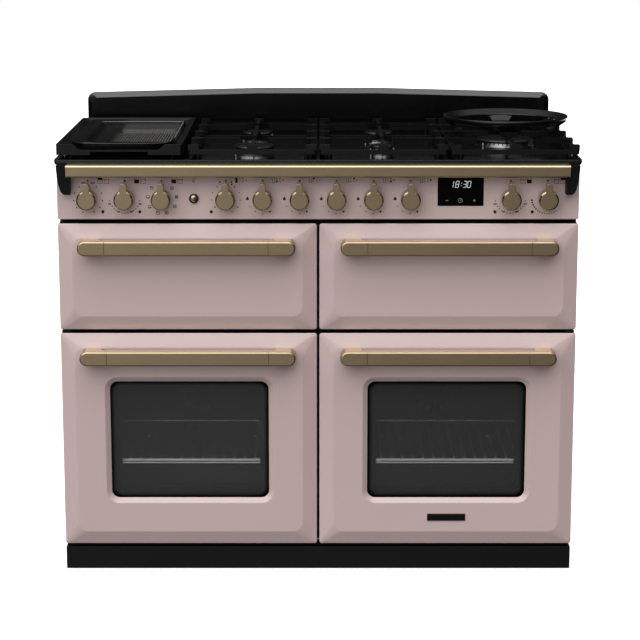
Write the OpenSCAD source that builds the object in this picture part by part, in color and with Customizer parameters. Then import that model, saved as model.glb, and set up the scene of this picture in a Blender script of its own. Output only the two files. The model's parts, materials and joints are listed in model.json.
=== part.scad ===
/* [Body] */
// Width across the fronts
body_w = 1092; // [1040:1:1140]
// Depth from the edges of the fronts to the back
body_d = 598; // [585:1:640]
// Height of the plinth
plinth_h = 50; // [40:1:70]
// Gap between the plinth and the oven doors
plinth_gap = 9; // [7:0.5:14]
// Height of the oven doors
lower_h = 466; // [450:1:500]
// Gap between the oven doors and the upper fronts
mid_gap = 8; // [7.5:0.5:12]
// Height of the grill door and the drawer front
upper_h = 227; // [222:1:260]
// Gap between the upper fronts and the control panel
panel_gap = 9; // [6:0.5:12]
// Height of the control panel
panel_h = 116; // [112:1:130]
// Thickness of the sheet metal
sheet = 2; // [1.5:0.25:2.5]
// Gap between the left and the right fronts
centre_gap = 5; // [4:0.5:8]

/* [Fronts] */
// Depth of a front at its edges
door_t = 38; // [36:0.5:44]
// Gap between a closed front and the frame
seal_gap = 4; // [4:0.25:6]
// Width of the sloping border of a front
border = 30; // [24:1:40]
// How far the field stands out from the edges
proud = 10; // [6:0.5:12]
// Corner radius of a front
edge_r = 5; // [4:0.5:8]
// Corner radius of the raised field
field_r = 22; // [14:1:30]
// Width of the window glass that shows
window_w = 338; // [280:1:350]
// Height of the window glass that shows
window_h = 257; // [200:1:265]
// Corner radius of the window
window_r = 17; // [12:1:30]
// Width of the sloping frame round the window
bevel = 10; // [6:0.5:12]
// Depth of the window below the field
bevel_d = 7; // [4:0.5:8]
// Thickness of the window panes
glass_t = 4; // [3:0.5:5]
// Width of the hinge pins of the oven doors
hinge_pin_d = 8; // [6:0.5:10]
// Width of the hinge pins of the grill door
grill_pin_d = 5; // [4:0.5:6]

/* [Handles] */
// Length of a handle
handle_len = 455; // [380:1:460]
// Height of a handle
handle_h = 31; // [26:0.5:34]
// Depth of the bar of a handle
handle_t = 20; // [16:0.5:22]
// Reach of a handle from the edges of the fronts
handle_out = 50; // [46:1:60]
// Length of each end block of a handle
handle_end = 57; // [45:1:70]
// Distance from the top of a front to the middle of its handle
handle_drop = 46; // [46:0.5:54]
// Rounding of the handle's edges
handle_r = 4; // [3:0.25:5]

/* [Rail] */
// Length of each end of the rail that sits in its bracket
rail_seat = 7; // [4:0.5:12]
// Height of the front rail
rail_h = 25; // [22:0.5:28]
// Depth of the front rail
rail_t = 22; // [18:0.5:24]
// Gap between the rail and the control panel
rail_gap = 15; // [15:0.5:20]
// Height of the end brackets
bracket_h = 61; // [55:1:70]
// Width of the end brackets
bracket_w = 30; // [28:0.5:34]

/* [Controls] */
// Height of the knobs' middle above the control panel's bottom edge
knob_rise = 44; // [40:0.5:46]
// Distance between neighbouring knobs
knob_pitch = 77.2; // [72:0.2:80]
// Distance from the left side to the first knob
left_knob_in = 64.6; // [60:0.2:68]
// Distance from the right side to the last knob
right_knob_in = 66.8; // [60:0.2:72]
// Width of a knob's face
knob_face_d = 36.6; // [32:0.2:40]
// Width of a knob's base
knob_base_d = 41; // [38:0.5:46]
// Length of a knob from its face to its back
knob_len = 35; // [30:0.5:36]
// Gap between a knob and the control panel
knob_gap = 5; // [4.5:0.5:7]
// Width of a knob's pointer
pointer_w = 14; // [10:0.5:16]
// Reach of a knob's pointer
pointer_len = 36; // [30:0.5:40]
// Depth of a knob's pointer
pointer_t = 17; // [12:0.5:20]
// Width of the knob spindles
spindle_d = 8; // [6:0.5:10]
// Length of a spindle that is inside its knob
spindle_grip = 22; // [18:0.5:24]
// Travel of a burner knob when it is pushed
knob_push = 3; // [2:0.5:4]
// Width of the light button's bezel
bezel_d = 20; // [18:0.5:24]
// Width of the light button
button_d = 12.6; // [10:0.2:14]
// Width of the clock's glass
clock_w = 96; // [90:1:100]
// Height of the clock's glass
clock_h = 62; // [50:1:66]
// Offset of the clock from the middle of its space between the knobs
clock_shift = 0.5; // [-2:0.5:4]
// Height of the clock above the control panel's bottom edge
clock_rise = 28; // [26:1:32]

/* [Hob] */
// Overhang of the hob at each side
hob_side = 4; // [1:0.5:6]
// Overhang of the hob at the front
hob_front = 12; // [8:0.5:12]
// Height of the hob's rim
hob_lip = 10; // [10:0.5:14]
// Depth of the hob's surface below its rim
deck_drop = 5.5; // [4:0.5:6]
// Width of the hob's rim
hob_rim = 14; // [12:0.5:16]
// Gap between neighbouring pan supports
support_gap = 6; // [4:0.5:16]
// Distance from the back of the body to the pan supports
support_back = 64; // [60:1:80]
// Distance from the edges of the fronts to the pan supports
support_y = 18; // [12:1:22]
// Height of a pan support's frame above the hob's surface
support_lift = 13.5; // [12:0.5:16]
// Thickness of a pan support's bars
bar_t = 9; // [8:0.5:12]
// Width of a pan support's bars
bar_w = 12; // [10:0.5:16]
// Rise from the bars to the tops of the fingers
finger_rise = 10; // [8:0.5:12]
// Width of a finger
finger_w = 8; // [7:0.5:10]
// Length of the stepped root of a finger
root_len = 22; // [18:0.5:26]
// Distance from the middle of a support to its burners
burner_dy = 125; // [118:1:130]
// Clearance between a lift-off piece and its seat
rest_gap = 0.2; // [0.1:0.05:0.3]
// Lean of the wok ring's legs
leg_lean = 22; // [18:1:30]
// Outer radius of the wok ring
ring_r = 137.5; // [125:0.5:140]
// Height of the wok ring
ring_h = 36; // [30:1:45]
// Distance from the hob's side to the griddle frame
griddle_in = 2; // [1:0.5:12]
// Gap between the griddle frame and the pan support beside it
griddle_gap = 12; // [9:0.5:20]
// Height of the griddle frame above the hob's surface
griddle_h = 35; // [32:0.5:40]
// Gap under the griddle frame
griddle_lift = 12.5; // [8:0.5:14]
// Number of ridges on the griddle
ridges = 14; // [8:1:16]
// Height of the splashback at its ends
splash_h = 82; // [60:1:120]
// Rise of the splashback towards its middle
splash_arch = 10; // [4:0.5:16]
// Depth of the splashback
splash_t = 23; // [20:0.5:28]
// Narrowing of the splashback at each side
splash_in = 8; // [4:1:20]

/* [Burners] */
// Radius of the large burner
large_r = 46; // [42:1:50]
// Radius of the medium burners
medium_r = 36; // [32:1:40]
// Radius of the small burner
small_r = 28; // [24:1:32]
// Radius of the wok burner
wok_r = 64; // [60:1:68]
// Height of a burner head above the hob's surface
head_h = 11; // [9:0.5:12]
// Thickness of a burner cap
cap_t = 7; // [5:0.5:8]

/* [Cavities] */
// Width of the ovens
oven_w = 430; // [400:1:440]
// Height of the ovens
oven_h = 380; // [350:1:384]
// Depth of the ovens
oven_d = 410; // [380:1:430]
// Corner radius of the ovens
oven_r = 20; // [14:1:28]
// Width of the grill compartment
grill_w = 430; // [400:1:440]
// Height of the grill compartment
grill_h = 150; // [140:1:156]
// Depth of the grill compartment
grill_d = 390; // [360:1:420]
// Width of the drawer box
drawer_w = 440; // [400:1:450]
// Height of the drawer box
drawer_h = 150; // [120:1:160]
// Depth of the drawer box
drawer_d = 440; // [400:1:460]
// Travel of the drawer
drawer_travel = 400; // [300:5:410]
// Distance between the rungs of the shelf ladders
rung_pitch = 42; // [38:1:50]
// Height of the lowest rung above the oven floor
rung_first = 36; // [30:1:50]
// Rung that carries the shelf
shelf_rung = 2; // [0:1:4]
// Radius of the oven fans
fan_r = 60; // [50:1:66]
// Width of the fan shafts
shaft_d = 6; // [5:0.5:8]

/* [Services] */
// Width of the gas inlet's bore
gas_bore = 18.6; // [15:0.1:24]
// Width of the mains cable's inlet
cable_bore = 25; // [20:0.5:32]
// Distance between the holes for the stability chain
anchor_gap = 200; // [150:1:300]
// Width of the holes for the stability chain
anchor_d = 6.5; // [5:0.1:8]

/* [Hidden] */
$fn = 64;
tiny = 0.01;
fit = 0.05;
seat = 0.2;

// Heights from the floor
lower_z = plinth_h + plinth_gap;
lower_top = lower_z + lower_h;
upper_z = lower_top + mid_gap;
upper_top = upper_z + upper_h;
panel_z = upper_top + panel_gap;
hob_z = panel_z + panel_h;
hob_top = hob_z + hob_lip;
deck_z = hob_top - deck_drop;
base_z = lower_z - 3;
lower_mid = (lower_z + lower_top) / 2;
upper_mid = (upper_z + upper_top) / 2;

// Widths and depths; y is 0 at the edges of the fronts and grows to the back
half = body_w / 2;
inner = half - sheet;
front_w = half - centre_gap / 2;
front_x = (half + centre_gap / 2) / 2;
face_y = door_t + seal_gap;
back_y = body_d;
origin_y = (handle_out - body_d) / 2;

// Frame of the body
post = 16;
post_back = back_y - sheet - post;
weld = 0.1;
post_front = face_y + sheet + weld;
shelf_under = lower_top + mid_gap / 2;
plate_top = panel_z + 10;
drawer_open_w = drawer_w + 20;
drawer_open_h = drawer_h + 16;
runner_h = 32;
runner_t = 10;
runner_len = drawer_d + 6;

// Hinges of the fronts
hinge_in = 12;
hinge_y = 20;
hinge_t = 2.6;
hinge_clear = 0.8;
grill_hinge_up = 9;
grill_hinge_y = 8;
arm_t = 3;
arm_h = 10;
arm_in = 5;

// Knobs
panel_y = 2;
knob_z = panel_z + knob_rise;
knob_back = panel_y - knob_gap + 0.5;
right_group = half - right_knob_in - knob_pitch;
left_group = half - left_knob_in - 2 * knob_pitch;
button_x = (left_group + 2.5 * knob_pitch) / 2;
clock_x = (right_group + 2.5 * knob_pitch) / 2 + clock_shift;
burner_knob_x = [for (i = [-2:2]) (i + 0.5) * knob_pitch];
griddle_knob_x = -2.5 * knob_pitch;
left_knob_x = [for (i = [0:2]) -left_group - i * knob_pitch];
right_knob_x = [for (i = [0:1]) right_group + i * knob_pitch];
electric_x = concat(left_knob_x, [griddle_knob_x], right_knob_x);
tap_back = face_y - 2;

// Zones of the hob
zone_pitch = (body_w + 2 * hob_side) / 4;
support_w = zone_pitch - support_gap;
support_d = body_d - support_y - support_back;
zone_x = [for (i = [0:3]) (i - 1.5) * zone_pitch];
support_mid = support_y + support_d / 2;
bar_z = deck_z + support_lift;
pan_z = bar_z + bar_t + finger_rise;
griddle_left = -half - hob_side + griddle_in;
griddle_right = zone_x[1] - support_w / 2 - griddle_gap;
griddle_w = griddle_right - griddle_left;
griddle_x = (griddle_left + griddle_right) / 2;
burners = [
    [zone_x[1], support_mid - burner_dy, large_r],
    [zone_x[1], support_mid + burner_dy, medium_r],
    [zone_x[2], support_mid + burner_dy, medium_r],
    [zone_x[2], support_mid - burner_dy, small_r],
    [zone_x[3], support_mid, wok_r]
];

// Ovens
oven_back = face_y + sheet + oven_d;
oven_floor = lower_mid - oven_h / 2;
grill_z = upper_mid - grill_h / 2 + 4;
cover_gap = 27;
fan_y = oven_back - 20;
rung_r = 2.5;
ladder_r = 3;
shelf_r = 3.5;
shelf_z = oven_floor + rung_first + shelf_rung * rung_pitch + rung_r + shelf_r + seat;

// Puts a piece drawn from the edges of the fronts into the part's own frame
module place() {
    translate([0, origin_y, 0]) children();
}

// Repeats a piece in mirror image on the right
module both_sides() {
    children();
    mirror([1, 0, 0]) children();
}

// Flat rectangle with round corners
module round_rect(w, h, r) {
    square([w, h - 2 * r], center = true);
    square([w - 2 * r, h], center = true);
    for (x = [-1, 1], z = [-1, 1])
        translate([x * (w / 2 - r), z * (h / 2 - r)]) circle(r);
}

// Stands a flat outline upright, from y = 0 to y = t
module upright(t) {
    translate([0, t, 0]) rotate([90, 0, 0]) linear_extrude(t) children();
}

// Upright ring between two outlines with round corners
module upright_ring(t, w, h, r, wall) {
    upright(t) difference() {
        round_rect(w + 2 * wall, h + 2 * wall, r + wall);
        round_rect(w, h, r);
    }
}

// Cylinder along y that starts at y = 0
module y_cylinder(r, len) {
    rotate([-90, 0, 0]) cylinder(r = r, h = len);
}

// Cylinder along x that starts at x = 0
module x_cylinder(r, len) {
    rotate([0, 90, 0]) cylinder(r = r, h = len);
}

// Side and back panels
module side_panel() {
    translate([-half, face_y, base_z]) cube([sheet, body_d - face_y, hob_z - base_z]);
}

module back_vents() {
    for (x = [-3:3], z = [0:5])
        translate([x * 110, back_y - sheet / 2, panel_z - 60 + z * 16])
            rotate([90, 0, 0]) linear_extrude(sheet + 1, center = true) round_rect(70, 5, 2);
}

module outer_panels() {
    color("#1b1b1d") both_sides() side_panel();
    color("#9a9c9e") difference() {
        translate([-inner + seat, back_y - sheet, base_z])
            cube([2 * inner - 2 * seat, sheet, hob_z - base_z]);
        back_vents();
        anchor_holes();
        translate([gas_x, back_y - sheet - 1, gas_z]) y_cylinder(gas_boss_r + seat, sheet + 2);
        translate([-gas_x, back_y - sheet - 1, gas_z]) y_cylinder(cable_bore / 2, sheet + 2);
        for (x = [-1, 1]) translate([x * front_x, back_y - sheet - 1, lower_mid])
            for (a = [0:60:300]) rotate([0, a, 0]) translate([0, 0, 60])
                y_cylinder(6, sheet + 2);
    }
}

gas_x = right_group + knob_pitch / 2;
gas_z = hob_z - 50;
gas_boss_r = gas_bore / 2 + 5;

module anchor_holes() {
    for (x = [-1, 1]) translate([x * anchor_gap / 2, back_y - sheet - 1, gas_z])
        y_cylinder(anchor_d / 2, sheet + 2);
}

// Welded frame
module front_plate() {
    translate([0, face_y, 0]) upright(sheet) difference() {
        translate([-inner, base_z]) square([2 * inner, plate_top - base_z]);
        for (x = [-front_x, front_x]) translate([x, lower_mid]) round_rect(oven_w, oven_h, oven_r);
        translate([-front_x, grill_z + grill_h / 2]) round_rect(grill_w, grill_h, 12);
        translate([front_x, upper_mid]) round_rect(drawer_open_w, drawer_open_h, 8);
    }
}

module side_frame() {
    for (y = [post_front, post_back]) translate([-inner, y, base_z + sheet + weld])
        cube([post, post, hob_z - base_z - sheet - weld]);
    for (z = [base_z + sheet + weld, hob_z - post]) translate([-inner, post_front + post + weld, z])
        cube([post, post_back - post_front - post - 2 * weld, post]);
}

module cross_rails() {
    rail_x = -inner + post + weld;
    for (z = [base_z + sheet + weld, hob_z - post]) translate([rail_x, post_back, z])
        cube([-2 * rail_x, post, post]);
    translate([rail_x, post_front, hob_z - post]) cube([-2 * rail_x, post, post]);
    translate([-inner, post_front, base_z]) cube([2 * inner, back_y - sheet - post_front, sheet]);
    translate([-sheet / 2, post_front, base_z + sheet + weld])
        cube([sheet, post_back - post_front - weld, shelf_under - base_z - sheet - 2 * weld]);
    translate([-sheet / 2, post_front, shelf_under + sheet + weld])
        cube([sheet, post_back - post_front - weld, plate_top - shelf_under - sheet - weld]);
    translate([rail_x, post_front, shelf_under]) cube([-2 * rail_x, post_back - post_front - weld, sheet]);
}

// Oven door hinge: a bracket under or over the door with an upright pin
module pin_bracket(z, pin_z) {
    x = -half + hinge_in;
    translate([-inner + tiny, hinge_y - 9, z]) cube([hinge_in + 8, face_y - hinge_y + 9 + tiny, hinge_t]);
    translate([x, hinge_y, pin_z]) cylinder(d = hinge_pin_d, h = pin_len);
}

pin_len = 16;

module oven_hinges() {
    pin_bracket(lower_top + hinge_clear, lower_top + hinge_clear - pin_len + tiny);
    pin_bracket(lower_z - hinge_clear - hinge_t, lower_z - hinge_clear - tiny);
}

// Grill door hinge: an arm with a pin that points outwards
module grill_arm(x, out) {
    z = upper_z + grill_hinge_up;
    translate([x - arm_t / 2, grill_hinge_y, z - arm_h / 2])
        cube([arm_t, face_y - grill_hinge_y + tiny, arm_h]);
    translate([x - arm_t / 2, grill_hinge_y, z]) x_cylinder(arm_h / 2, arm_t);
    translate([out > 0 ? x : x - arm_in - arm_t / 2 + 0.5, grill_hinge_y, z])
        x_cylinder(grill_pin_d / 2, arm_in + arm_t / 2 - 0.5);
}

grill_arm_x = [-half + arm_in + arm_t / 2, -centre_gap / 2 - arm_in - arm_t / 2];

// Fixed channel that carries one side of the drawer
module drawer_channel(side) {
    x = front_x + side * (drawer_w / 2 + 2);
    translate([x, post_front, upper_mid - runner_h / 2]) mirror([side < 0 ? 1 : 0, 0, 0])
        difference() {
            cube([runner_t, runner_len - 5, runner_h]);
            translate([-1, -1, 2]) cube([runner_t - 1, runner_len, runner_h - 4]);
        }
}

module drawer_cross() {
    translate([sheet / 2 + weld, post_front + runner_len - 5 + weld, upper_mid - runner_h / 2])
        cube([inner - post - sheet / 2 - 2 * weld, 3, runner_h]);
}

module chassis_frame() {
    color("#6d6f72") {
        front_plate();
        both_sides() side_frame();
        difference() {
            cross_rails();
            foot_places() translate([0, 0, base_z - 1]) cylinder(r = foot_stem_r + seat, h = post + 10);
        }
        drawer_cross();
        drawer_channel(-1);
        drawer_channel(1);
        both_sides() oven_hinges();
        grill_arm(grill_arm_x[0], -1);
        grill_arm(grill_arm_x[1], 1);
    }
}

// Plinth with folded edges and fixing tabs
module plinth() {
    recess = 5;
    color("#17171a") {
        translate([-half, recess, 1]) cube([body_w, sheet, plinth_h - 1]);
        translate([-half, recess, plinth_h - sheet]) cube([body_w, 20, sheet]);
        both_sides() translate([-half, recess, 1]) cube([sheet, 50, plinth_h - 1]);
        for (x = [-front_x, front_x]) translate([x - 20, recess + 18, plinth_h - sheet])
            cube([40, face_y - recess - 4, sheet]);
        for (x = [-front_x, front_x])
            translate([x - 20, face_y + 8, plinth_h - sheet]) cube([40, sheet, base_z - plinth_h + sheet]);
    }
}

foot_stem_r = 5;

module foot_places() {
    for (x = [-half + 50, half - 50], y = [face_y + 50, body_d - 60]) translate([x, y, 0]) children();
}

// Screw feet
module levelling_feet() {
    color("#3a3a3c") foot_places() {
        cylinder(r = 20, h = 6);
        translate([0, 0, 6]) cylinder(r1 = 16, r2 = 9, h = 6);
        cylinder(r = foot_stem_r, h = base_z + post);
        translate([0, 0, base_z - 8]) cylinder(r = 9.8, h = 8, $fn = 6);
    }
}

// Enamelled hob with a raised rim and a set-down surface
module hob_outline(inset, r) {
    translate([0, (back_y - hob_front) / 2])
        round_rect(body_w + 2 * hob_side - 2 * inset, back_y + hob_front - 2 * inset, r);
}

module hob_tray() {
    deck_t = 2;
    color("#121214") difference() {
        union() {
            translate([0, 0, hob_z + 3]) linear_extrude(hob_lip - 3) hob_outline(0, 9);
            translate([0, 0, hob_z]) linear_extrude(3) hob_outline(1.5, 7.5);
        }
        translate([0, 0, deck_z]) linear_extrude(deck_drop + 1) hob_outline(hob_rim, 12);
        translate([0, 0, hob_z - 1]) linear_extrude(deck_z - deck_t - hob_z + 1) hob_outline(hob_rim + 4, 9);
        for (b = burners) translate([b[0], b[1], hob_z]) cylinder(r = b[2] * 0.7 + 1, h = hob_lip + 1);
        translate([griddle_x, griddle_mid, hob_z])
            linear_extrude(hob_lip + 1) round_rect(hotplate_w - 20, hotplate_d - 20, 10);
    }
}

hotplate_side = 25;
hotplate_end = 40;
hotplate_t = 4;
heater_side = 11;
heater_end = 20;
heater_h = 24;
hotplate_r = 14;
heater_r = 9;
griddle_shift = 6;
hotplate_w = griddle_w - 2 * hotplate_side;
hotplate_d = support_d - 2 * hotplate_end;
griddle_mid = support_mid - griddle_shift;

// Outline of the splashback seen from the front
module splash_outline(in) {
    w = half + hob_side - splash_in - in;
    flat = w * 0.26;
    corner = 16;
    translate([0, hob_top]) hull() {
        translate([-w, 0]) square([2 * w, 1]);
        for (s = [-1, 1]) translate([s * (w - corner), splash_h - corner - in]) circle(corner, $fn = 32);
        for (s = [-1, 1]) translate([s * flat - 0.5, splash_h + splash_arch - in - 1]) square(1);
    }
}

module splash_form(in) {
    slope = 11;
    hull() {
        translate([0, back_y - splash_t + 6, 0]) upright(splash_t - 6) splash_outline(in);
        translate([0, back_y - splash_t, 0]) upright(1) splash_outline(in + slope);
    }
}

module splashback() {
    color("#101012") difference() {
        splash_form(0);
        translate([0, sheet, -sheet]) splash_form(sheet);
        translate([-half, back_y - splash_t + sheet, hob_top - 1]) cube([body_w, 1, 0.5]);
    }
    color("#101012") translate([-half - hob_side + splash_in + 2 * sheet, back_y - splash_t + sheet, hob_top])
        cube([2 * (half + hob_side - splash_in - 2 * sheet), splash_t - sheet, sheet]);
}

// Brass rail along the front
rail_len = body_w - 2 * bracket_w + 2 * rail_seat;
rail_mid_y = panel_y - rail_gap - rail_t / 2;
rail_mid_z = hob_z + 1 - rail_h / 2;

module rail_section(grow) {
    rotate([90, 0, 90]) linear_extrude(rail_len, center = true)
        round_rect(rail_t + 2 * grow, rail_h + 2 * grow, 4 + grow);
}

module front_rail() {
    color("#8a7c5a") translate([0, rail_mid_y, rail_mid_z]) rail_section(0);
}

module rail_end_brackets() {
    x = half - bracket_w / 2;
    edge = bracket_w / 2;
    front = rail_mid_y + rail_t / 2 - 12;
    color("#202024") both_sides() difference() {
        translate([x, front, hob_z - bracket_h]) upright(panel_y - front) polygon([
            [-edge, 0], [edge - 17.5, 0], [edge - 11, 6.5], [edge - 6, 24],
            [edge - 2.5, bracket_h - 9], [edge - 2, bracket_h], [-edge, bracket_h]
        ]);
        translate([0, rail_mid_y, rail_mid_z]) rail_section(seat);
    }
}

// Burners: a slotted crown on a stepped cup, and its cap
module burner_heads() {
    cap_z = deck_z + head_h;
    color("#b9bbbd") for (b = burners) translate([b[0], b[1], 0]) difference() {
        union() {
            translate([0, 0, hob_z + 1]) cylinder(r = b[2] * 0.7, h = deck_z - hob_z);
            translate([0, 0, deck_z]) cylinder(r = b[2], h = 3);
            translate([0, 0, deck_z + 3]) cylinder(r1 = b[2] - 2, r2 = b[2] - 4, h = head_h - 3);
        }
        translate([0, 0, cap_z - 5]) cylinder(r = b[2] - 9, h = 6);
        for (a = [0:ports(b[2]) - 1]) rotate(a * 360 / ports(b[2]))
            translate([b[2] - 14, -1, cap_z - 4]) cube([16, 2, 5]);
    }
}

function ports(r) = 4 * floor(r / 6);

module burner_caps() {
    color("#161618") for (b = burners) translate([b[0], b[1], deck_z + head_h]) rotate_extrude()
        polygon([
            [0, 0], [b[2] - 3, 0], [b[2] - 1.5, 1.5], [b[2] - 1.5, cap_t - 3],
            [b[2] - 4.5, cap_t], [0, cap_t]
        ]);
}

// Ceramic hotplate under the griddle, with its heater pan
module griddle_hotplate() {
    color("#0c0c0e") translate([griddle_x, griddle_mid, 0]) {
        translate([0, 0, deck_z]) linear_extrude(hotplate_t)
            round_rect(hotplate_w, hotplate_d, hotplate_r);
        translate([0, 0, hob_z - heater_h]) linear_extrude(heater_h + deck_z - hob_z)
            round_rect(hotplate_w - 2 * heater_side, hotplate_d - 2 * heater_end, heater_r);
    }
}

// Control panel with its holes
module control_panel() {
    color("#a89491") difference() {
        union() {
            translate([-half, panel_y, panel_z]) cube([body_w, sheet, panel_h]);
            translate([-half, panel_y, panel_z]) cube([body_w, tap_back - panel_y, sheet]);
            both_sides() translate([-half, panel_y, panel_z]) cube([sheet, face_y - panel_y, panel_h]);
        }
        for (x = concat(electric_x, burner_knob_x)) translate([x, 0, knob_z])
            y_cylinder(spindle_d / 2 + 2, panel_y + sheet + 1);
        translate([-button_x, 0, knob_z]) y_cylinder(bezel_d / 2 - 2 + seat, panel_y + sheet + 1);
        translate([clock_x - clock_w / 2 - seat, 0, panel_z + clock_rise - seat])
            cube([clock_w + 2 * seat, panel_y + sheet + 1, clock_h + 2 * seat]);
    }
}

// Clock: a glass front with its case behind the panel
clock_case = 30;
clock_edge = 4;

module clock_module() {
    color("#08080a") {
        translate([clock_x, panel_y - 1, panel_z + clock_rise + clock_h / 2])
            upright(sheet + 1) round_rect(clock_w, clock_h, 2);
        translate([clock_x - clock_w / 2 - clock_edge, panel_y + sheet, panel_z + clock_rise - clock_edge])
            cube([clock_w + 2 * clock_edge, clock_case, clock_h + 2 * clock_edge]);
    }
}

// Electric controls, gas taps, their pipes and the inlets
module switch_body(x) {
    size = 38;
    translate([x - size / 2, panel_y + sheet, knob_z - size / 2]) cube([size, 30, size]);
    translate([x, spindle_front, knob_z]) y_cylinder(spindle_d / 2, panel_y + sheet - spindle_front + 1);
}

spindle_front = knob_back - spindle_grip;
spindle_back = panel_y + sheet + 22;

module gas_tap(x) {
    difference() {
        union() {
            translate([x, panel_y + sheet, knob_z]) y_cylinder(13, tap_back - panel_y - sheet);
            translate([x, tap_back - 14, manifold_z]) cylinder(r = 7, h = knob_z - manifold_z);
        }
        translate([x - 10, tap_back - 14, manifold_z]) x_cylinder(pipe_r + weld, 20);
        translate([x, panel_y, knob_z])
            y_cylinder(spindle_d / 2 + fit, spindle_back + knob_push + 1 - panel_y);
    }
}

manifold_z = panel_z + sheet + 10;
pipe_r = 8;

module light_switch() {
    size = 24;
    translate([-button_x, 0, knob_z]) difference() {
        union() {
            translate([-size / 2, panel_y + sheet, -size / 2]) cube([size, 24, size]);
            translate([0, panel_y - 4, 0]) y_cylinder(bezel_d / 2 - 2, sheet + 5);
            translate([0, panel_y - 4, 0]) y_cylinder(bezel_d / 2, 4);
        }
        translate([0, panel_y - 5, 0]) y_cylinder(button_d / 2 + 0.1, 16);
    }
}

module taps_and_switches() {
    pipe_y = tap_back - 14;
    color("#2a2a2c") {
        for (x = electric_x) switch_body(x);
        light_switch();
    }
    color("#b0a070") {
        for (x = burner_knob_x) gas_tap(x);
        translate([burner_knob_x[0] - 20, pipe_y, manifold_z])
            x_cylinder(pipe_r, gas_x - burner_knob_x[0] + 20 - pipe_r - 4 - weld);
        translate([gas_x, pipe_y, manifold_z]) {
            cylinder(r = pipe_r, h = gas_z - manifold_z);
            sphere(pipe_r);
            translate([-pipe_r - 4, 0, 0]) x_cylinder(pipe_r, pipe_r + 4);
        }
        translate([gas_x, pipe_y, gas_z]) {
            sphere(pipe_r);
            y_cylinder(pipe_r, pipe_r + 4);
        }
        translate([gas_x, pipe_y + pipe_r + 4 + weld, gas_z])
            y_cylinder(pipe_r, back_y - 30 - weld - pipe_y - pipe_r - 4 - weld);
        translate([gas_x, back_y - 30, gas_z]) difference() {
            y_cylinder(gas_boss_r, 30);
            translate([0, 12, 0]) y_cylinder(gas_bore / 2, 19);
        }
    }
    color("#2a2a2c") translate([-gas_x, back_y - sheet - 22, gas_z]) difference() {
        translate([-30, 0, -24]) cube([60, 22, 48]);
        translate([0, 4, 0]) y_cylinder(cable_bore / 2, 19);
    }
}

// Oven and grill compartments
module liner_shell(w, h, d, r) {
    translate([0, face_y + sheet, 0]) {
        upright_ring(sheet, w, h, r, 10);
        upright_ring(d, w, h, r, sheet);
    }
}

module oven_liners() {
    color("#26262a") for (x = [-front_x, front_x]) translate([x, 0, lower_mid]) difference() {
        union() {
            liner_shell(oven_w, oven_h, oven_d, oven_r);
            translate([0, oven_back, 0]) upright(sheet)
                round_rect(oven_w + 2 * sheet, oven_h + 2 * sheet, oven_r + sheet);
        }
        translate([0, oven_back - 1, 0]) y_cylinder(shaft_d / 2 + 3, sheet + 2);
    }
}

grill_ledge_z = 34;

module grill_liner() {
    color("#26262a") translate([-front_x, 0, grill_z + grill_h / 2]) {
        liner_shell(grill_w, grill_h, grill_d, 12);
        translate([0, face_y + sheet + grill_d, 0]) upright(sheet) difference() {
            round_rect(grill_w + 2 * sheet, grill_h + 2 * sheet, 12 + sheet);
            for (i = [0, 9]) translate([element_x[i], grill_h / 2 - 16]) circle(element_rod + 0.3);
        }
        both_sides() translate([-grill_w / 2 - tiny, face_y + sheet + 6, -grill_h / 2 + grill_ledge_z - 3])
            cube([14, grill_d - 30, 3]);
    }
}

// Wire ladders and shelves
module ladder() {
    depth = oven_d - cover_gap - 60;
    x = -oven_w / 2 + ladder_r + seat;
    height = rung_first + 6 * rung_pitch;
    for (y = [0, depth]) translate([x, y, oven_r + 1]) cylinder(r = ladder_r, h = height - oven_r + 11);
    for (i = [0:5]) translate([x + 4, -12, rung_first + i * rung_pitch]) y_cylinder(rung_r, depth + 24);
}

module wire_shelf() {
    w = oven_w / 2 - 10.5;
    depth = oven_d - cover_gap - 40;
    for (s = [-1, 1]) translate([s * w, 0, 0]) y_cylinder(shelf_r, depth);
    for (y = [4, depth - 4]) translate([-w, y, 0]) x_cylinder(3, 2 * w);
    for (i = [-8:8]) translate([i * w / 9, 2, 1.5]) y_cylinder(1.6, depth - 4);
}

module oven_racks() {
    color("#c8cacc") for (x = [-front_x, front_x]) {
        translate([x, face_y + 26, oven_floor]) both_sides() ladder();
        translate([x, face_y + 20, shelf_z]) wire_shelf();
    }
}

// Baffle in front of each fan
module oven_fan_covers() {
    w = 280;
    h = 250;
    color("#2c2c30") for (x = [-front_x, front_x]) translate([x, oven_back - cover_gap, lower_mid])
        difference() {
            upright(cover_gap - seat) round_rect(w, h, 24);
            translate([0, 1.5, 0]) upright(cover_gap) round_rect(w - 3, h - 3, 22.5);
            for (a = [0:22.5:359], r = [26, 44]) rotate([0, a, 0]) translate([0, -1, r])
                upright(3) square([r / 8, 13], center = true);
            for (s = [-1, 1], z = [-2:2]) translate([s * w / 2, 8, z * 38])
                translate([-2, 0, -12]) cube([4, 12, 24]);
        }
}

// Fan wheels and motors
module fan_wheel(x) {
    color("#a8aaac") translate([x, fan_y, lower_mid]) difference() {
        union() {
            translate([0, 10, 0]) y_cylinder(fan_r, 1.5);
            translate([0, -2, 0]) y_cylinder(8, 13);
            for (a = [0:30:330]) rotate([0, a, 0]) translate([fan_r - 26, -2, -0.8]) cube([24, 12.5, 1.6]);
        }
        translate([0, 0, 0]) y_cylinder(shaft_d / 2 + fit, 13);
    }
}

module left_oven_fan() { fan_wheel(-front_x); }
module right_oven_fan() { fan_wheel(front_x); }

motor_r = 29;
motor_len = 42;
motor_strap_w = 90;
motor_strap_h = 28;
motor_strap_t = 2;

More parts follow.
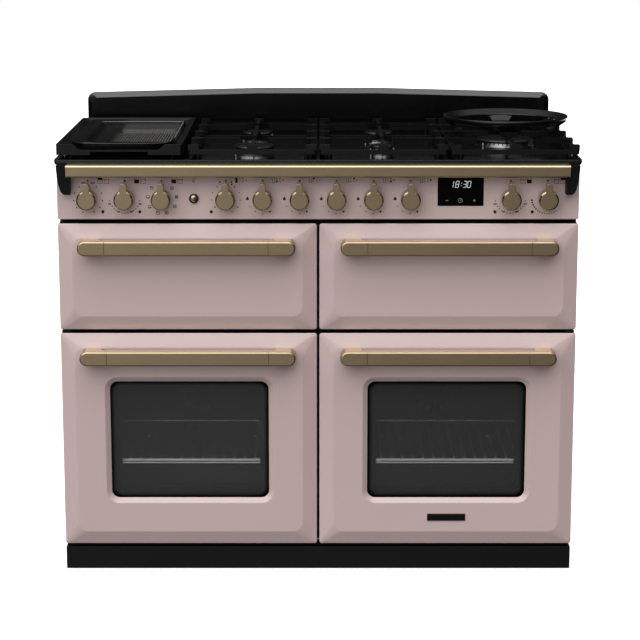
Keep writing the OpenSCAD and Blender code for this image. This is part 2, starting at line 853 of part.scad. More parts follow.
module fan_motors() {
    color("#8c8e90") for (x = [-front_x, front_x]) translate([x, oven_back + sheet, lower_mid]) {
        translate([-motor_strap_w / 2, 0, -motor_strap_h / 2])
            cube([motor_strap_w, motor_strap_t, motor_strap_h]);
        translate([0, 1, 0]) y_cylinder(motor_r, motor_len);
        translate([0, fan_y - oven_back - sheet + 1, 0])
            y_cylinder(shaft_d / 2, oven_back + sheet - fan_y + 2);
    }
}

// Grill pan with its trivet, and the heating element over it
pan_w = grill_w - 24;
pan_d = grill_d - 46;
pan_h = 34;
trivet_side = 27;
trivet_foot = 6;
trivet_end = 8;
trivet_w = pan_w - 2 * trivet_side;
trivet_pitch = (trivet_w / 2 - trivet_end) / 6;

module grill_pan() {
    rim = 10;
    z = grill_z + grill_ledge_z + seat;
    color("#1e1e22") translate([-front_x, face_y + sheet + 14 + pan_d / 2, z]) {
        difference() {
            union() {
                linear_extrude(2) round_rect(pan_w + 2 * rim, pan_d, 16);
                translate([0, 0, 2 - pan_h]) linear_extrude(pan_h) round_rect(pan_w - 10, pan_d - 10, 20);
            }
            translate([0, 0, 4 - pan_h]) linear_extrude(pan_h) round_rect(pan_w - 14, pan_d - 14, 18);
        }
    }
    color("#c8cacc") translate([-front_x, face_y + sheet + 14 + pan_d / 2, z + 2 - pan_h]) {
        for (i = [-6:6]) translate([i * trivet_pitch, -pan_d / 2 + 16, 14]) y_cylinder(1.8, pan_d - 32);
        for (y = [-1, 1]) translate([-trivet_w / 2, y * (pan_d / 2 - 30), 12]) x_cylinder(2.4, trivet_w);
        for (i = [-1, 1], y = [-1, 1])
            translate([i * (trivet_w / 2 - trivet_foot), y * (pan_d / 2 - 30), 2 + seat])
                cylinder(r = 2.4, h = 10);
    }
}

element_rod = 3.5;
element_pitch = 36;
element_x = [for (i = [0:9]) (i - 4.5) * element_pitch];
element_front = 40;
element_back = 70;
element_tail = 16;
element_drop = 16;
strap_in = 60;
strap_w = 12;

module grill_element() {
    run = grill_d - element_front - element_back;
    z = grill_z + grill_h - element_drop;
    color("#55504c") translate([-front_x, face_y + sheet + element_front, z]) {
        for (i = [1:8]) translate([element_x[i], 0, 0]) y_cylinder(element_rod, run);
        for (i = [0, 9]) translate([element_x[i], 0, 0])
            y_cylinder(element_rod, grill_d - element_front + element_tail);
        for (i = [0:8]) translate([element_x[i] + element_pitch / 2, i % 2 == 0 ? 0 : run, 0])
            rotate([0, 0, i % 2 == 0 ? 180 : 0]) rotate_extrude(angle = 180)
                translate([element_pitch / 2, 0]) circle(element_rod);
        for (y = [strap_in, run - strap_in]) translate([element_x[0] - 8, y - strap_w / 2, element_rod])
            cube([9 * element_pitch + 16, strap_w, element_drop - element_rod - seat]);
    }
}

// Gaskets round the mouths
module gasket(x, z, w, h) {
    thick = seal_gap - 0.3;
    translate([x, face_y - thick, z]) upright_ring(thick, w + 8, h + 8, 18, 9);
}

module door_seals() {
    color("#3c3a38") {
        for (x = [-front_x, front_x]) gasket(x, lower_mid, oven_w, oven_h);
        gasket(-front_x, grill_z + grill_h / 2, grill_w, grill_h);
    }
}

// Cast pan supports: a low frame that carries stepped fingers
module finger(len) {
    drop = bar_t;
    translate([0, -root_len / 2, -drop]) cube([root_len, root_len, finger_rise + drop]);
    translate([root_len - tiny, -finger_w / 2, -1]) cube([len - root_len, finger_w, finger_rise + 1]);
    translate([root_len - tiny, -finger_w / 2, -5]) difference() {
        cube([4, finger_w, 4 + tiny]);
        translate([4, -1, 0]) rotate([-90, 0, 0]) cylinder(r = 4, h = finger_w + 2, $fn = 32);
    }
}

module support_frame(x, mids) {
    w = support_w / 2;
    d = support_d / 2;
    top = bar_z + bar_t;
    translate([x, support_mid, 0]) {
        translate([0, 0, bar_z]) linear_extrude(bar_t) difference() {
            round_rect(support_w, support_d, 6);
            round_rect(support_w - 2 * bar_w, support_d - 2 * bar_w, 8);
        }
        for (s = [-1, 1], t = [-1, 1]) {
            translate([s * (w - root_len / 2), t * (d - root_len / 2), top + finger_rise / 2 - tiny])
                cube([root_len, root_len, finger_rise], center = true);
            translate([s * (w - 21), t * (d - 8), deck_z + rest_gap]) cylinder(r = 5.5, h = support_lift + 2);
        }
        for (y = mids) translate([-w + 2, y - bar_w / 2, bar_z]) cube([support_w - 4, bar_w, bar_t]);
    }
}

module fingers_at(x, y, len) {
    translate([x, y, bar_z + bar_t]) {
        for (a = [0, 180]) rotate(a) translate([-support_w / 2, 0, 0]) finger(len);
    }
}

// Support over two burners
module double_support(x, tip_front, tip_rear) {
    w = support_w / 2;
    d = support_d / 2;
    color("#141416") {
        support_frame(x, [0]);
        fingers_at(x, support_mid - burner_dy, w - tip_front);
        fingers_at(x, support_mid + burner_dy, w - tip_rear);
        for (s = [-1, 1])
            translate([x + s * (w - root_len / 2), support_mid, bar_z + bar_t + finger_rise / 2 - tiny])
                cube([root_len, root_len, finger_rise], center = true);
        translate([x, support_mid, bar_z + bar_t]) {
            translate([0, -d, 0]) rotate(90) finger(d - burner_dy - tip_front);
            translate([0, d, 0]) rotate(-90) finger(d - burner_dy - tip_rear);
            translate([0, root_len / 2, 0]) rotate(-90) finger(burner_dy - tip_front + root_len / 2);
            translate([0, -root_len / 2, 0]) rotate(90) finger(burner_dy - tip_rear + root_len / 2);
        }
    }
}

module pan_support_left() { double_support(zone_x[1], 30, 26); }
module pan_support_centre() { double_support(zone_x[2], 22, 26); }

module pan_support_right() {
    w = support_w / 2;
    d = support_d / 2;
    x = zone_x[3];
    color("#141416") {
        support_frame(x, []);
        fingers_at(x, support_mid, w - 36);
        for (t = [-1, 1]) fingers_at(x, support_mid + t * burner_dy, 60);
        translate([x, support_mid, bar_z + bar_t]) for (a = [90, -90])
            rotate(a) translate([-d, 0, 0]) finger(d - 36);
    }
}

// Wok ring: a dished rim on four tapering legs
module ring_leg() {
    foot = pan_z + rest_gap;
    top = pan_z + ring_h;
    knee = ring_r - leg_lean;
    intersection() {
        rotate([90, 0, 0]) linear_extrude(100, center = true) polygon([
            [ring_r - 2, top - 8], [knee, top - 25], [knee, foot], [knee - 22, foot],
            [knee - 22, foot + 5], [knee - 7, foot + 9], [knee - 7, top - 22], [ring_r - 20, top - 11]
        ]);
        translate([ring_r - 90, 0, foot]) rotate([90, 0, 90]) linear_extrude(100)
            polygon([
                [-17, -1], [17, -1], [18, 9], [22, 17], [30, 23], [44, 27], [44, ring_h],
                [-44, ring_h], [-44, 27], [-30, 23], [-22, 17], [-18, 9]
            ]);
        translate([0, 0, foot - 1]) cylinder(r = ring_r - 3, h = ring_h + 2);
    }
}

module wok_ring() {
    top = pan_z + ring_h;
    color("#151517") translate([zone_x[3], support_mid, 0]) {
        translate([0, 0, top]) rotate_extrude($fn = 128) polygon([
            [ring_r - 22, -12], [ring_r - 21, -13.5], [ring_r - 3, -8], [ring_r, -5],
            [ring_r, -2], [ring_r - 1.5, 0], [ring_r - 5, -0.4], [ring_r - 21, -9.5]
        ]);
        for (a = [0:90:270]) rotate(a) ring_leg();
    }
}

// Griddle frame: sloping sides, deep end blocks and a dipped front
module griddle_frame() {
    w = griddle_w / 2;
    d = support_d / 2 - 4;
    low = deck_z + griddle_lift;
    top = deck_z + griddle_h;
    color("#171719") translate([griddle_x, griddle_mid, 0]) {
        difference() {
            translate([0, 0, low]) linear_extrude(top - low) round_rect(2 * w, 2 * d, 5);
            translate([0, 0, low - 1]) linear_extrude(top - low + 2)
                round_rect(2 * (w - 30), 2 * (d - 30), 14);
            griddle_slopes(w, d, top);
            translate([0, -d - 1, top]) upright(40) dip_form();
            translate([0, 0, low - 1]) linear_extrude(under_h + 1)
                square([under_w, 2 * d + 2], center = true);
            translate([0, 0, low - 1]) linear_extrude(under_h + 1)
                square([2 * w + 2, 2 * d - 2 * under_end], center = true);
        }
        for (s = [-1, 1], t = [-1, 1]) translate([s * (w - 21), t * (d - 16), deck_z + rest_gap])
            cylinder(r = 5, h = griddle_lift + 1);
    }
}

// Dip in the front of the frame, with swept ends
dip_w = 158;
dip_sweep = 20;
dip_h = 13;
under_w = 120;
under_h = 6.5;
under_end = 94;

module dip_form() {
    sweep = [for (t = [0:8]) [dip_w / 2 + dip_sweep * t / 8, -dip_h * (1 + cos(22.5 * t)) / 2]];
    polygon(concat(
        [for (p = sweep) p], [[dip_w / 2 + dip_sweep, 5], [-dip_w / 2 - dip_sweep, 5]],
        [for (t = [8:-1:0]) [-sweep[t][0], sweep[t][1]]]
    ));
}

// Cuts that slope the frame's top inwards and leave a ledge for the griddle
module griddle_slopes(w, d, top) {
    hull() {
        translate([0, 0, top + tiny]) linear_extrude(1) round_rect(2 * w - 6, 2 * d - 6, 5, $fn = 16);
        translate([0, 0, top - ledge_drop + 5]) linear_extrude(1)
            round_rect(griddle_plate_w + 2, griddle_plate_d + 2, 20, $fn = 16);
    }
    translate([0, 0, top - ledge_drop]) linear_extrude(ledge_drop)
        round_rect(griddle_plate_w + 2, griddle_plate_d + 2, 20);
}

ledge_drop = 16;
griddle_plate_w = griddle_w - 46;
griddle_plate_d = support_d - 54;

// Griddle plate: a dish with ridges and a raised rear shelf
module griddle() {
    z = deck_z + griddle_h - ledge_drop + rest_gap;
    w = griddle_plate_w;
    d = griddle_plate_d;
    rim = 9;
    dish_d = d * 0.66;
    pitch = (w - 60) / ridges;
    ridge_front = 15;
    ridge_rear = 45;
    ridge_side = 15;
    color("#3a3a38") translate([griddle_x, griddle_mid, z]) {
        difference() {
            linear_extrude(ledge_drop - 1) round_rect(w, d, 19);
            translate([0, (dish_d - d) / 2 + rim, 4]) linear_extrude(ledge_drop)
                round_rect(w - 2 * rim, dish_d, 14);
            translate([0, 0, 11]) linear_extrude(ledge_drop) round_rect(w - 2 * rim, d - 2 * rim, 14);
        }
        for (i = [0:ridges - 1])
            translate([w / 2 - ridge_side - i * pitch, rim + dish_d - d / 2 - ridge_rear, 4 - tiny])
                rotate([90, 0, 0]) linear_extrude(dish_d - ridge_front - ridge_rear)
                    polygon([[-3, 0], [3, 0], [1.2, 3], [-1.2, 3]]);
    }
}

// Knob: a rounded drum with a pointer flush with its face
module knob(x) {
    face = knob_face_d / 2;
    base = knob_base_d / 2;
    translate([x, knob_back, knob_z]) rotate([90, 0, 0]) difference() {
        union() {
            rotate_extrude() polygon([
                [0, 0], [base - 1, 0], [base, 1], [base, 4], [face + 1.2, 8], [face + 0.4, knob_len - 3],
                [face - 0.6, knob_len - 0.9], [face - 2.2, knob_len], [0, knob_len]
            ]);
            translate([0, 0, knob_len - pointer_t]) linear_extrude(pointer_t) {
                translate([-pointer_w / 2, 0]) square([pointer_w, pointer_len - pointer_w / 2]);
                translate([0, pointer_len - pointer_w / 2]) circle(pointer_w / 2);
            }
        }
        translate([0, 0, -1]) cylinder(d = spindle_d + 2 * fit, h = spindle_grip + 2);
    }
}

module brass_knob(x) { color("#a39a80") knob(x); }
module grill_knob() { brass_knob(left_knob_x[2]); }
module left_oven_temperature_knob() { brass_knob(left_knob_x[1]); }
module left_oven_function_knob() { brass_knob(left_knob_x[0]); }
module griddle_knob() { brass_knob(griddle_knob_x); }
module right_oven_knob() { brass_knob(right_knob_x[0]); }
module drawer_knob() { brass_knob(right_knob_x[1]); }

// Spindle of a gas tap
module burner_spindle(i) {
    color("#c9cbcd") translate([burner_knob_x[i - 1], spindle_front, knob_z])
        y_cylinder(spindle_d / 2, spindle_back - spindle_front);
}

dome_h = 1.6;
button_len = 10;
dome_r = (pow(button_d / 2, 2) + pow(dome_h, 2)) / (2 * dome_h);

module light_button() {
    color("#a39a80") translate([-button_x, panel_y - 5, knob_z]) intersection() {
        translate([0, -dome_h - 1, 0]) y_cylinder(button_d / 2, button_len + dome_h + 1);
        translate([0, dome_r - dome_h, 0]) sphere(dome_r);
    }
}

// Pressed front with a sloping border round a raised field
module front_form(w, h, in) {
    hull() {
        upright(1) round_rect(w - 2 * in, h - 2 * in, edge_r - in / 2, $fn = 32);
        translate([0, in - proud, 0]) upright(1)
            round_rect(w - 2 * border, h - 2 * border, field_r, $fn = 32);
    }
}

module front_shell(w, h) {
    skin = sheet * 0.75;
    difference() {
        union() {
            front_form(w, h, 0);
            upright(door_t) round_rect(w, h, edge_r);
        }
        front_form(w, h, skin);
        translate([0, 0.5, 0]) upright(door_t) round_rect(w - 2 * skin, h - 2 * skin, edge_r - skin / 2);
    }
}

// Sloping frame round a window
module window_slope(grow) {
    hull() {
        translate([0, -proud, 0]) upright(0.5)
            round_rect(window_w + 2 * bevel + grow, window_h + 2 * bevel + grow, window_r + bevel, $fn = 32);
        translate([0, bevel_d - proud, 0]) upright(0.5)
            round_rect(window_w + grow, window_h + grow, window_r, $fn = 32);
    }
}

module oven_door_skin() {
    difference() {
        union() {
            front_shell(front_w, lower_h);
            difference() {
                translate([0, 1, 0]) window_slope(6);
                translate([0, window_back, 0]) upright(10) square([front_w, lower_h], center = true);
            }
        }
        translate([0, -tiny, 0]) window_slope(0);
        translate([0, -proud - 1, 0]) upright(bevel_d + 6) round_rect(window_w, window_h, window_r);
        for (s = [-1, 1]) translate([front_w / 2 - hinge_in, hinge_y, s * lower_h / 2])
            translate([0, 0, -5]) cylinder(d = hinge_pin_d + 2 * fit, h = 10);
    }
}

window_back = bevel_d - proud + 1.5;

module oven_door_glass() {
    translate([0, window_back + seat / 2, 0]) upright(glass_t) round_rect(window_w + 16, window_h + 16, window_r);
    translate([0, door_t - sheet - glass_t, 0]) upright(glass_t)
        round_rect(window_w - 20, window_h - 20, window_r);
}

// Back of an oven door, with its inner window and hinge bushes
module oven_door_liner() {
    skin = sheet * 0.75;
    w = front_w - 2 * skin - 0.4;
    h = lower_h - 2 * skin - 0.4;
    difference() {
        union() {
            translate([0, door_t - sheet, 0]) upright(sheet) round_rect(w, h, edge_r);
            translate([0, door_t - 14, 0]) upright(14) difference() {
                round_rect(w, h, edge_r);
                round_rect(w - 3, h - 3, edge_r - 1);
            }
            for (s = [-1, 1]) translate([front_w / 2 - hinge_in, hinge_y, s * (h / 2 - 7)])
                cylinder(d = hinge_pin_d + 8, h = 14, center = true);
            for (s = [-1, 1]) translate([front_w / 2 - hinge_in - 5, hinge_y, s * (h / 2 - 7) - 7])
                cube([10, door_t - hinge_y - 1, 14]);
            translate([0, door_t - 8, 0]) upright(8) difference() {
                round_rect(window_w - 14, window_h - 14, window_r);
                round_rect(window_w - 19.6, window_h - 19.6, window_r);
            }
        }
        translate([0, door_t - sheet - 1, 0]) upright(sheet + 2)
            round_rect(window_w - 40, window_h - 40, window_r - 5);
        for (s = [-1, 1]) translate([front_w / 2 - hinge_in, hinge_y, s * lower_h / 2])
            translate([0, 0, -20]) cylinder(d = hinge_pin_d + 2 * fit, h = 40);
    }
}

// Handle: a flat bar between two end blocks with round ends
module handle_section(len, depth) {
    rotate([90, 0, 90]) linear_extrude(len) {
        translate([handle_r - depth, -handle_h / 2]) square([depth - handle_r, handle_h]);
        translate([-depth, handle_r - handle_h / 2]) square([depth, handle_h - 2 * handle_r]);
        for (z = [-1, 1]) translate([handle_r - depth, z * (handle_h / 2 - handle_r)]) circle(handle_r);
    }
}

module handle_block() {
    r = handle_h / 2;
    depth = handle_out - proud;
    leg = handle_end - r - 12;
    translate([r, 0, 0]) rotate([90, 0, 0]) rotate([0, 0, 90]) rotate_extrude(angle = 180) {
        square([r - handle_r, depth]);
        square([r, depth - handle_r]);
        translate([r - handle_r, depth - handle_r]) circle(handle_r);
    }
    translate([r, 0, 0]) handle_section(leg, depth);
    translate([r + leg, handle_t - depth, 0]) handle_section(handle_end - r - leg - seat, handle_t);
}

module bar_handle() {
    depth = handle_out - proud;
    bar = handle_len - 2 * handle_end;
    translate([0, -proud, 0]) {
        for (s = [0, 1]) mirror([s, 0, 0]) translate([-handle_len / 2, 0, 0]) handle_block();
        translate([-bar / 2, handle_t - depth, 0]) handle_section(bar, handle_t);
    }
}

module at_front(side, z) { translate([side * front_x, 0, z]) children(); }
module handle_at(side, top) {
    color("#82754f") at_front(side, top - handle_drop) bar_handle();
}

module left_door_skin() { color("#b8a4a2") at_front(-1, lower_mid) mirror([1, 0, 0]) oven_door_skin(); }
module right_door_skin() { color("#b8a4a2") at_front(1, lower_mid) oven_door_skin(); }
module left_door_glass() { color("#1c1c1e") at_front(-1, lower_mid) oven_door_glass(); }
module right_door_glass() { color("#1c1c1e") at_front(1, lower_mid) oven_door_glass(); }
module left_door_liner() { color("#26262a") at_front(-1, lower_mid) mirror([1, 0, 0]) oven_door_liner(); }
module right_door_liner() { color("#26262a") at_front(1, lower_mid) oven_door_liner(); }
module left_door_handle() { handle_at(-1, lower_top); }
module right_door_handle() { handle_at(1, lower_top); }
module grill_door_handle() { handle_at(-1, upper_top); }
module drawer_handle() { handle_at(1, upper_top); }

// Slot that clears a hinge arm as the grill door swings
module arm_slot(x) {
    translate([x - arm_t / 2 - 1, grill_hinge_y - arm_h / 2 - 1, upper_z - 1])
        cube([arm_t + 2, door_t + 2, grill_hinge_up + arm_h / 2 + 3]);
}

module grill_door_shell() {
    skin = sheet * 0.75;
    color("#b8a4a2") difference() {
        union() {
            at_front(-1, upper_mid) front_shell(front_w, upper_h);
            at_front(-1, upper_mid) translate([0, door_t - sheet, 0]) upright(sheet)
                round_rect(front_w - 2 * skin + tiny, upper_h - 2 * skin + tiny, edge_r);
        }
        for (x = grill_arm_x) arm_slot(x);
        translate([-half - 1, grill_hinge_y, upper_z + grill_hinge_up])
            x_cylinder(grill_pin_d / 2 + fit, front_w + 4);
    }
}

module drawer_front() {
    skin = sheet * 0.75;
    color("#b8a4a2") at_front(1, upper_mid) {
        front_shell(front_w, upper_h);
        translate([0, door_t - sheet, 0]) upright(sheet)
            round_rect(front_w - 2 * skin + tiny, upper_h - 2 * skin + tiny, edge_r);
    }
}

// Drawer box with its moving runners
module drawer_box() {
    wall = 1.5;
    color("#8c8e90") translate([front_x - drawer_w / 2, door_t, upper_mid - drawer_h / 2]) {
        difference() {
            cube([drawer_w, drawer_d, drawer_h]);
            translate([wall, wall, wall]) cube([drawer_w - 2 * wall, drawer_d - 2 * wall, drawer_h]);
        }
        for (s = [0, 1]) translate([s * drawer_w, 0, drawer_h / 2]) mirror([1 - s, 0, 0])
            translate([-tiny, seal_gap + sheet + 4, -runner_h / 2 + 2.5]) cube([8, drawer_d - 12, runner_h - 5]);
    }
}

place() outer_panels();
place() chassis_frame();
place() plinth();
place() levelling_feet();
place() hob_tray();
place() splashback();
place() front_rail();
place() rail_end_brackets();
place() burner_heads();
place() burner_caps();
place() griddle_hotplate();
place() control_panel();
place() clock_module();
place() taps_and_switches();
place() oven_liners();
place() grill_liner();
place() oven_racks();
place() oven_fan_covers();
place() fan_motors();
place() grill_pan();
place() grill_element();
place() door_seals();
place() left_oven_fan();
place() right_oven_fan();
place() pan_support_left();
place() pan_support_centre();
place() pan_support_right();
place() wok_ring();
place() griddle_frame();
place() griddle();
place() grill_knob();
place() left_oven_temperature_knob();
place() left_oven_function_knob();
place() griddle_knob();
place() brass_knob(burner_knob_x[0]);  // burner_knob_1
place() brass_knob(burner_knob_x[1]);  // burner_knob_2
place() brass_knob(burner_knob_x[2]);  // burner_knob_3
place() brass_knob(burner_knob_x[3]);  // burner_knob_4
place() brass_knob(burner_knob_x[4]);  // burner_knob_5
place() right_oven_knob();
place() drawer_knob();
place() burner_spindle(1);  // burner_spindle_1
place() burner_spindle(2);  // burner_spindle_2
place() burner_spindle(3);  // burner_spindle_3
place() burner_spindle(4);  // burner_spindle_4
place() burner_spindle(5);  // burner_spindle_5
place() light_button();
place() left_door_skin();
place() left_door_glass();
place() left_door_liner();
place() left_door_handle();
place() right_door_skin();
place() right_door_glass();
place() right_door_liner();
place() right_door_handle();
place() grill_door_shell();
place() grill_door_handle();
place() drawer_front();
place() drawer_handle();
place() drawer_box();
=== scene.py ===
import json
import math

import bmesh
import bpy
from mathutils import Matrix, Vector


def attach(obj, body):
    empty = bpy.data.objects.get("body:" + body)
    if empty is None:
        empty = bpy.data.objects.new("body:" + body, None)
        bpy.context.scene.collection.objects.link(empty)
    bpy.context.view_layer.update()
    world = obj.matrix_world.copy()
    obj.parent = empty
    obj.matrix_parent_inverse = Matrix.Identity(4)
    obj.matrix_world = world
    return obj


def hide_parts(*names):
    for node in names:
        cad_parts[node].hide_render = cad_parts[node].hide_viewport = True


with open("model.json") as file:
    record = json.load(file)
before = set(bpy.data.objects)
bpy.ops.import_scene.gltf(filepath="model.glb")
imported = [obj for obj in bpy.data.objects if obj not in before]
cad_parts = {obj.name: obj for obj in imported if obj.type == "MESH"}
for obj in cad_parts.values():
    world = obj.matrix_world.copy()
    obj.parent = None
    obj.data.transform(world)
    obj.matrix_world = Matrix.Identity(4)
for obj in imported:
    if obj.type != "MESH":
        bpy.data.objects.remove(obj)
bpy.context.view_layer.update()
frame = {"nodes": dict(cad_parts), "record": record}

# Camera and studio: seen straight on from a little above the hob, with a long lens. A soft
# light stands high at the left, under a white ceiling, with a grey room in front and a dark
# one behind, so that the black hob stays black. Two low fills light the back and the sides.
camera = bpy.data.objects.new("camera", bpy.data.cameras.new("camera"))
camera.location = (0.004, -4.518, 1.450)
camera.rotation_euler = (math.radians(78.07), 0, 0)
camera.data.lens = 115.3
camera.data.sensor_width = 36
camera.data.clip_end = 60
bpy.context.collection.objects.link(camera)
bpy.context.scene.camera = camera
bpy.context.scene.view_settings.view_transform = "Standard"

key_lamp = bpy.data.lights.new("key_light", "SUN")
key_lamp.energy, key_lamp.angle = 3.0, math.radians(90)
key = bpy.data.objects.new("key_light", key_lamp)
key.rotation_euler = Vector((0.26, 0.52, -0.84)).to_track_quat("-Z", "Y").to_euler()
bpy.context.collection.objects.link(key)
for name, side in (("left_fill", -1), ("right_fill", 1)):
    fill_lamp = bpy.data.lights.new(name, "AREA")
    fill_lamp.energy, fill_lamp.shape, fill_lamp.size, fill_lamp.size_y = 36, "RECTANGLE", 2.2, 0.7
    fill = bpy.data.objects.new(name, fill_lamp)
    fill.location = (side * 2.7, 2.6, 0.46)
    fill.rotation_euler = Vector((-side * 2.3, -2.5, 0)).to_track_quat("-Z", "Y").to_euler()
    fill.visible_camera = False
    bpy.context.collection.objects.link(fill)


class Field:
    """A value that varies over a surface. Arithmetic on it adds Math nodes."""

    def __init__(self, graph, socket):
        self.graph, self.socket = graph, socket

    def math(self, operation, a, b=0.0):
        return self.graph.node("ShaderNodeMath", {0: a, 1: b}, operation=operation)

    def __add__(self, other):
        return self.math("ADD", self, other)

    def __radd__(self, other):
        return self.math("ADD", other, self)

    def __sub__(self, other):
        return self.math("SUBTRACT", self, other)

    def __rsub__(self, other):
        return self.math("SUBTRACT", other, self)

    def __mul__(self, other):
        return self.math("MULTIPLY", self, other)

    def __rmul__(self, other):
        return self.math("MULTIPLY", other, self)

    def __pow__(self, other):
        return self.math("POWER", self, other)

    def __gt__(self, other):
        return self.math("GREATER_THAN", self, other)

    def __abs__(self):
        return self.math("ABSOLUTE", self)

    def xyz(self):
        split = self.graph.node("ShaderNodeSeparateXYZ", {0: self}).socket.node
        return [Field(self.graph, part) for part in split.outputs]

    def slide(self, low, high, start, end):
        """Goes softly from start to end while this value goes from low to high."""
        return self.graph.node("ShaderNodeMapRange", {0: self, 1: low, 2: high, 3: start, 4: end},
                               interpolation_type="SMOOTHSTEP")


class Graph:
    """A node tree, with the one method that adds a node to it."""

    def __init__(self, tree):
        self.tree = tree

    def feed(self, node, sockets):
        for key, value in sockets.items():
            if isinstance(value, Field):
                self.tree.links.new(value.socket, node.inputs[key])
            else:
                node.inputs[key].default_value = value

    def node(self, kind, sockets=None, out=0, **settings):
        made = self.tree.nodes.new(kind)
        for name, value in settings.items():
            setattr(made, name, value)
        self.feed(made, sockets or {})
        return Field(self, made.outputs[out])


world = bpy.data.worlds.new("studio")
world.use_nodes = True
bpy.context.scene.world = world
room = Graph(world.node_tree)
x, y, z = room.node("ShaderNodeTexCoord", out="Generated").xyz()
walls = x.slide(-0.24, 0.24, 0.72, 0.15) * y.slide(-0.25, 0.05, 1.0, 0.05) * z.slide(-0.8, 0.0, 0.35, 1.0)
sides = abs(x).slide(0.55, 0.9, 1.0, 0.05)
ceiling = z.slide(0.45, 0.85, 0.0, 0.8)
lit_room = room.node("ShaderNodeBackground", {"Color": (1, 1, 1, 1), "Strength": walls * sides + ceiling})
paper_white = room.node("ShaderNodeBackground", {"Color": (1, 1, 1, 1), "Strength": 1.0})
seen = room.node("ShaderNodeLightPath", out="Is Camera Ray")
air = room.node("ShaderNodeMixShader", {0: seen, 1: lit_room, 2: paper_white})
room.feed(world.node_tree.nodes["World Output"], {"Surface": air})

bpy.ops.mesh.primitive_plane_add(size=24, location=(0, 4, -0.0005))
floor = bpy.context.object
floor.name = "studio_floor"
floor.visible_diffuse = floor.visible_glossy = False


# Pink fronts: sheet steel pressed with a sloping border round a raised field, then
# enamelled. The enamel is satin with a faint orange peel. Each front is one shell whose
# sections step from the rear edge over the border to the field, and back inside.
class Finish(Graph):
    """A surface finish: a material, its shader and the patterns that it is made of."""

    def __init__(self, name, sockets):
        self.material = bpy.data.materials.new(name)
        self.material.use_nodes = True
        super().__init__(self.material.node_tree)
        self.shader = self.tree.nodes["Principled BSDF"]
        self.feed(self.shader, sockets)

    def grain(self, scale, stretch=(1, 1, 1), detail=3, rough=0.55):
        spot = self.node("ShaderNodeTexCoord", out="Object")
        if stretch != (1, 1, 1):
            spot = self.node("ShaderNodeMapping", {"Vector": spot, "Scale": stretch})
        return self.node("ShaderNodeTexNoise", {"Vector": spot, "Scale": scale, "Detail": detail,
                                                "Roughness": rough})

    def relief(self, height, distance, strength=1.0):
        bump = self.node("ShaderNodeBump", {"Height": height, "Distance": distance, "Strength": strength},
                         out="Normal")
        self.feed(self.shader, {"Normal": bump})

    def colour(self, amount, dark, light):
        """Goes between two tones. The Mix node's colour sockets share names, so they are taken by place."""
        mix = self.tree.nodes.new("ShaderNodeMix")
        mix.data_type = "RGBA"
        self.feed(mix, {0: amount, 6: dark if isinstance(dark, Field) else (*dark, 1),
                        7: light if isinstance(light, Field) else (*light, 1)})
        return Field(self, mix.outputs[2])


def enamel(name, colour, rough, peel=0.00002, shift=0.03, coat=0.35, shine=0.5, painted_shade_behind=None):
    """Enamel or paint. Behind the given depth it is painted black: painted shade, for the dark gaps between the fronts.
    """
    finish = Finish(name, {"Roughness": rough, "Coat Weight": coat, "Coat Roughness": 0.08,
                           "Specular IOR Level": shine})
    dark, light = tuple(c * (1 - shift) for c in colour), tuple(c * (1 + shift) for c in colour)
    tone = finish.colour(finish.grain(2.5), dark, light)
    if painted_shade_behind is not None:
        depth = finish.node("ShaderNodeTexCoord", out="Object").xyz()[1]
        tone = finish.colour(depth > painted_shade_behind, tone, (0.004, 0.004, 0.004))
    finish.feed(finish.shader, {"Base Color": tone})
    finish.relief(finish.grain(420, detail=1), peel)
    return finish.material


FRONT_Y = -0.274
PINK = (0.525, 0.400, 0.388)
# Behind the fronts' edges the pink is painted black: painted shade for the dark gaps between them.
pink = enamel("pink_enamel", PINK, 0.36, painted_shade_behind=FRONT_Y + 0.0012)


def smoothed(data, angle):
    """Shades a mesh smooth, but for the edges sharper than the angle."""
    data.shade_smooth()
    data.set_sharp_from_angle(angle=math.radians(angle))
    return data


def linked(name, data):
    made = bpy.data.objects.new(name, data)
    bpy.context.collection.objects.link(made)
    return made


def mesh_of(bm, name):
    data = bpy.data.meshes.new(name)
    bm.to_mesh(data)
    bm.free()
    return data


def mesh_piece(name, build, material, body, smooth=35):
    """Turns bmesh work into a finished piece that rides on a body."""
    bm = bmesh.new()
    build(bm)
    bmesh.ops.remove_doubles(bm, verts=bm.verts, dist=2e-6)
    bmesh.ops.recalc_face_normals(bm, faces=bm.faces)
    data = smoothed(mesh_of(bm, name), smooth)
    data.materials.append(material)
    piece = linked(name, data)
    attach(piece, body)
    return piece


FRONT_W, EDGE_R, FIELD_R = 0.5435, 0.005, 0.022
BORDER, DOOR_T, SKIN = 0.030, 0.038, 0.0015


def round_ring(bm, centre, w, h, r, y, steps=12):
    """Vertices round an upright rectangle with round corners, at depth y behind the fronts' edges."""
    ring = []
    for k, (sx, sz) in enumerate(((1, 1), (-1, 1), (-1, -1), (1, -1))):
        for i in range(steps + 1):
            a = math.pi / 2 * (k + i / steps)
            x = centre[0] + sx * (w / 2 - r) + r * math.cos(a)
            z = centre[1] + sz * (h / 2 - r) + r * math.sin(a)
            ring.append(bm.verts.new((x, FRONT_Y + y, z)))
    return ring


def loft(bm, rings, closed=False, caps=False):
    pairs = list(zip(rings, rings[1:])) + ([(rings[-1], rings[0])] if closed else [])
    for one, two in pairs:
        for i in range(len(one)):
            j = (i + 1) % len(one)
            bm.faces.new((one[i], one[j], two[j], two[i]))
    if caps:
        bm.faces.new(rings[0])
        bm.faces.new(rings[-1])


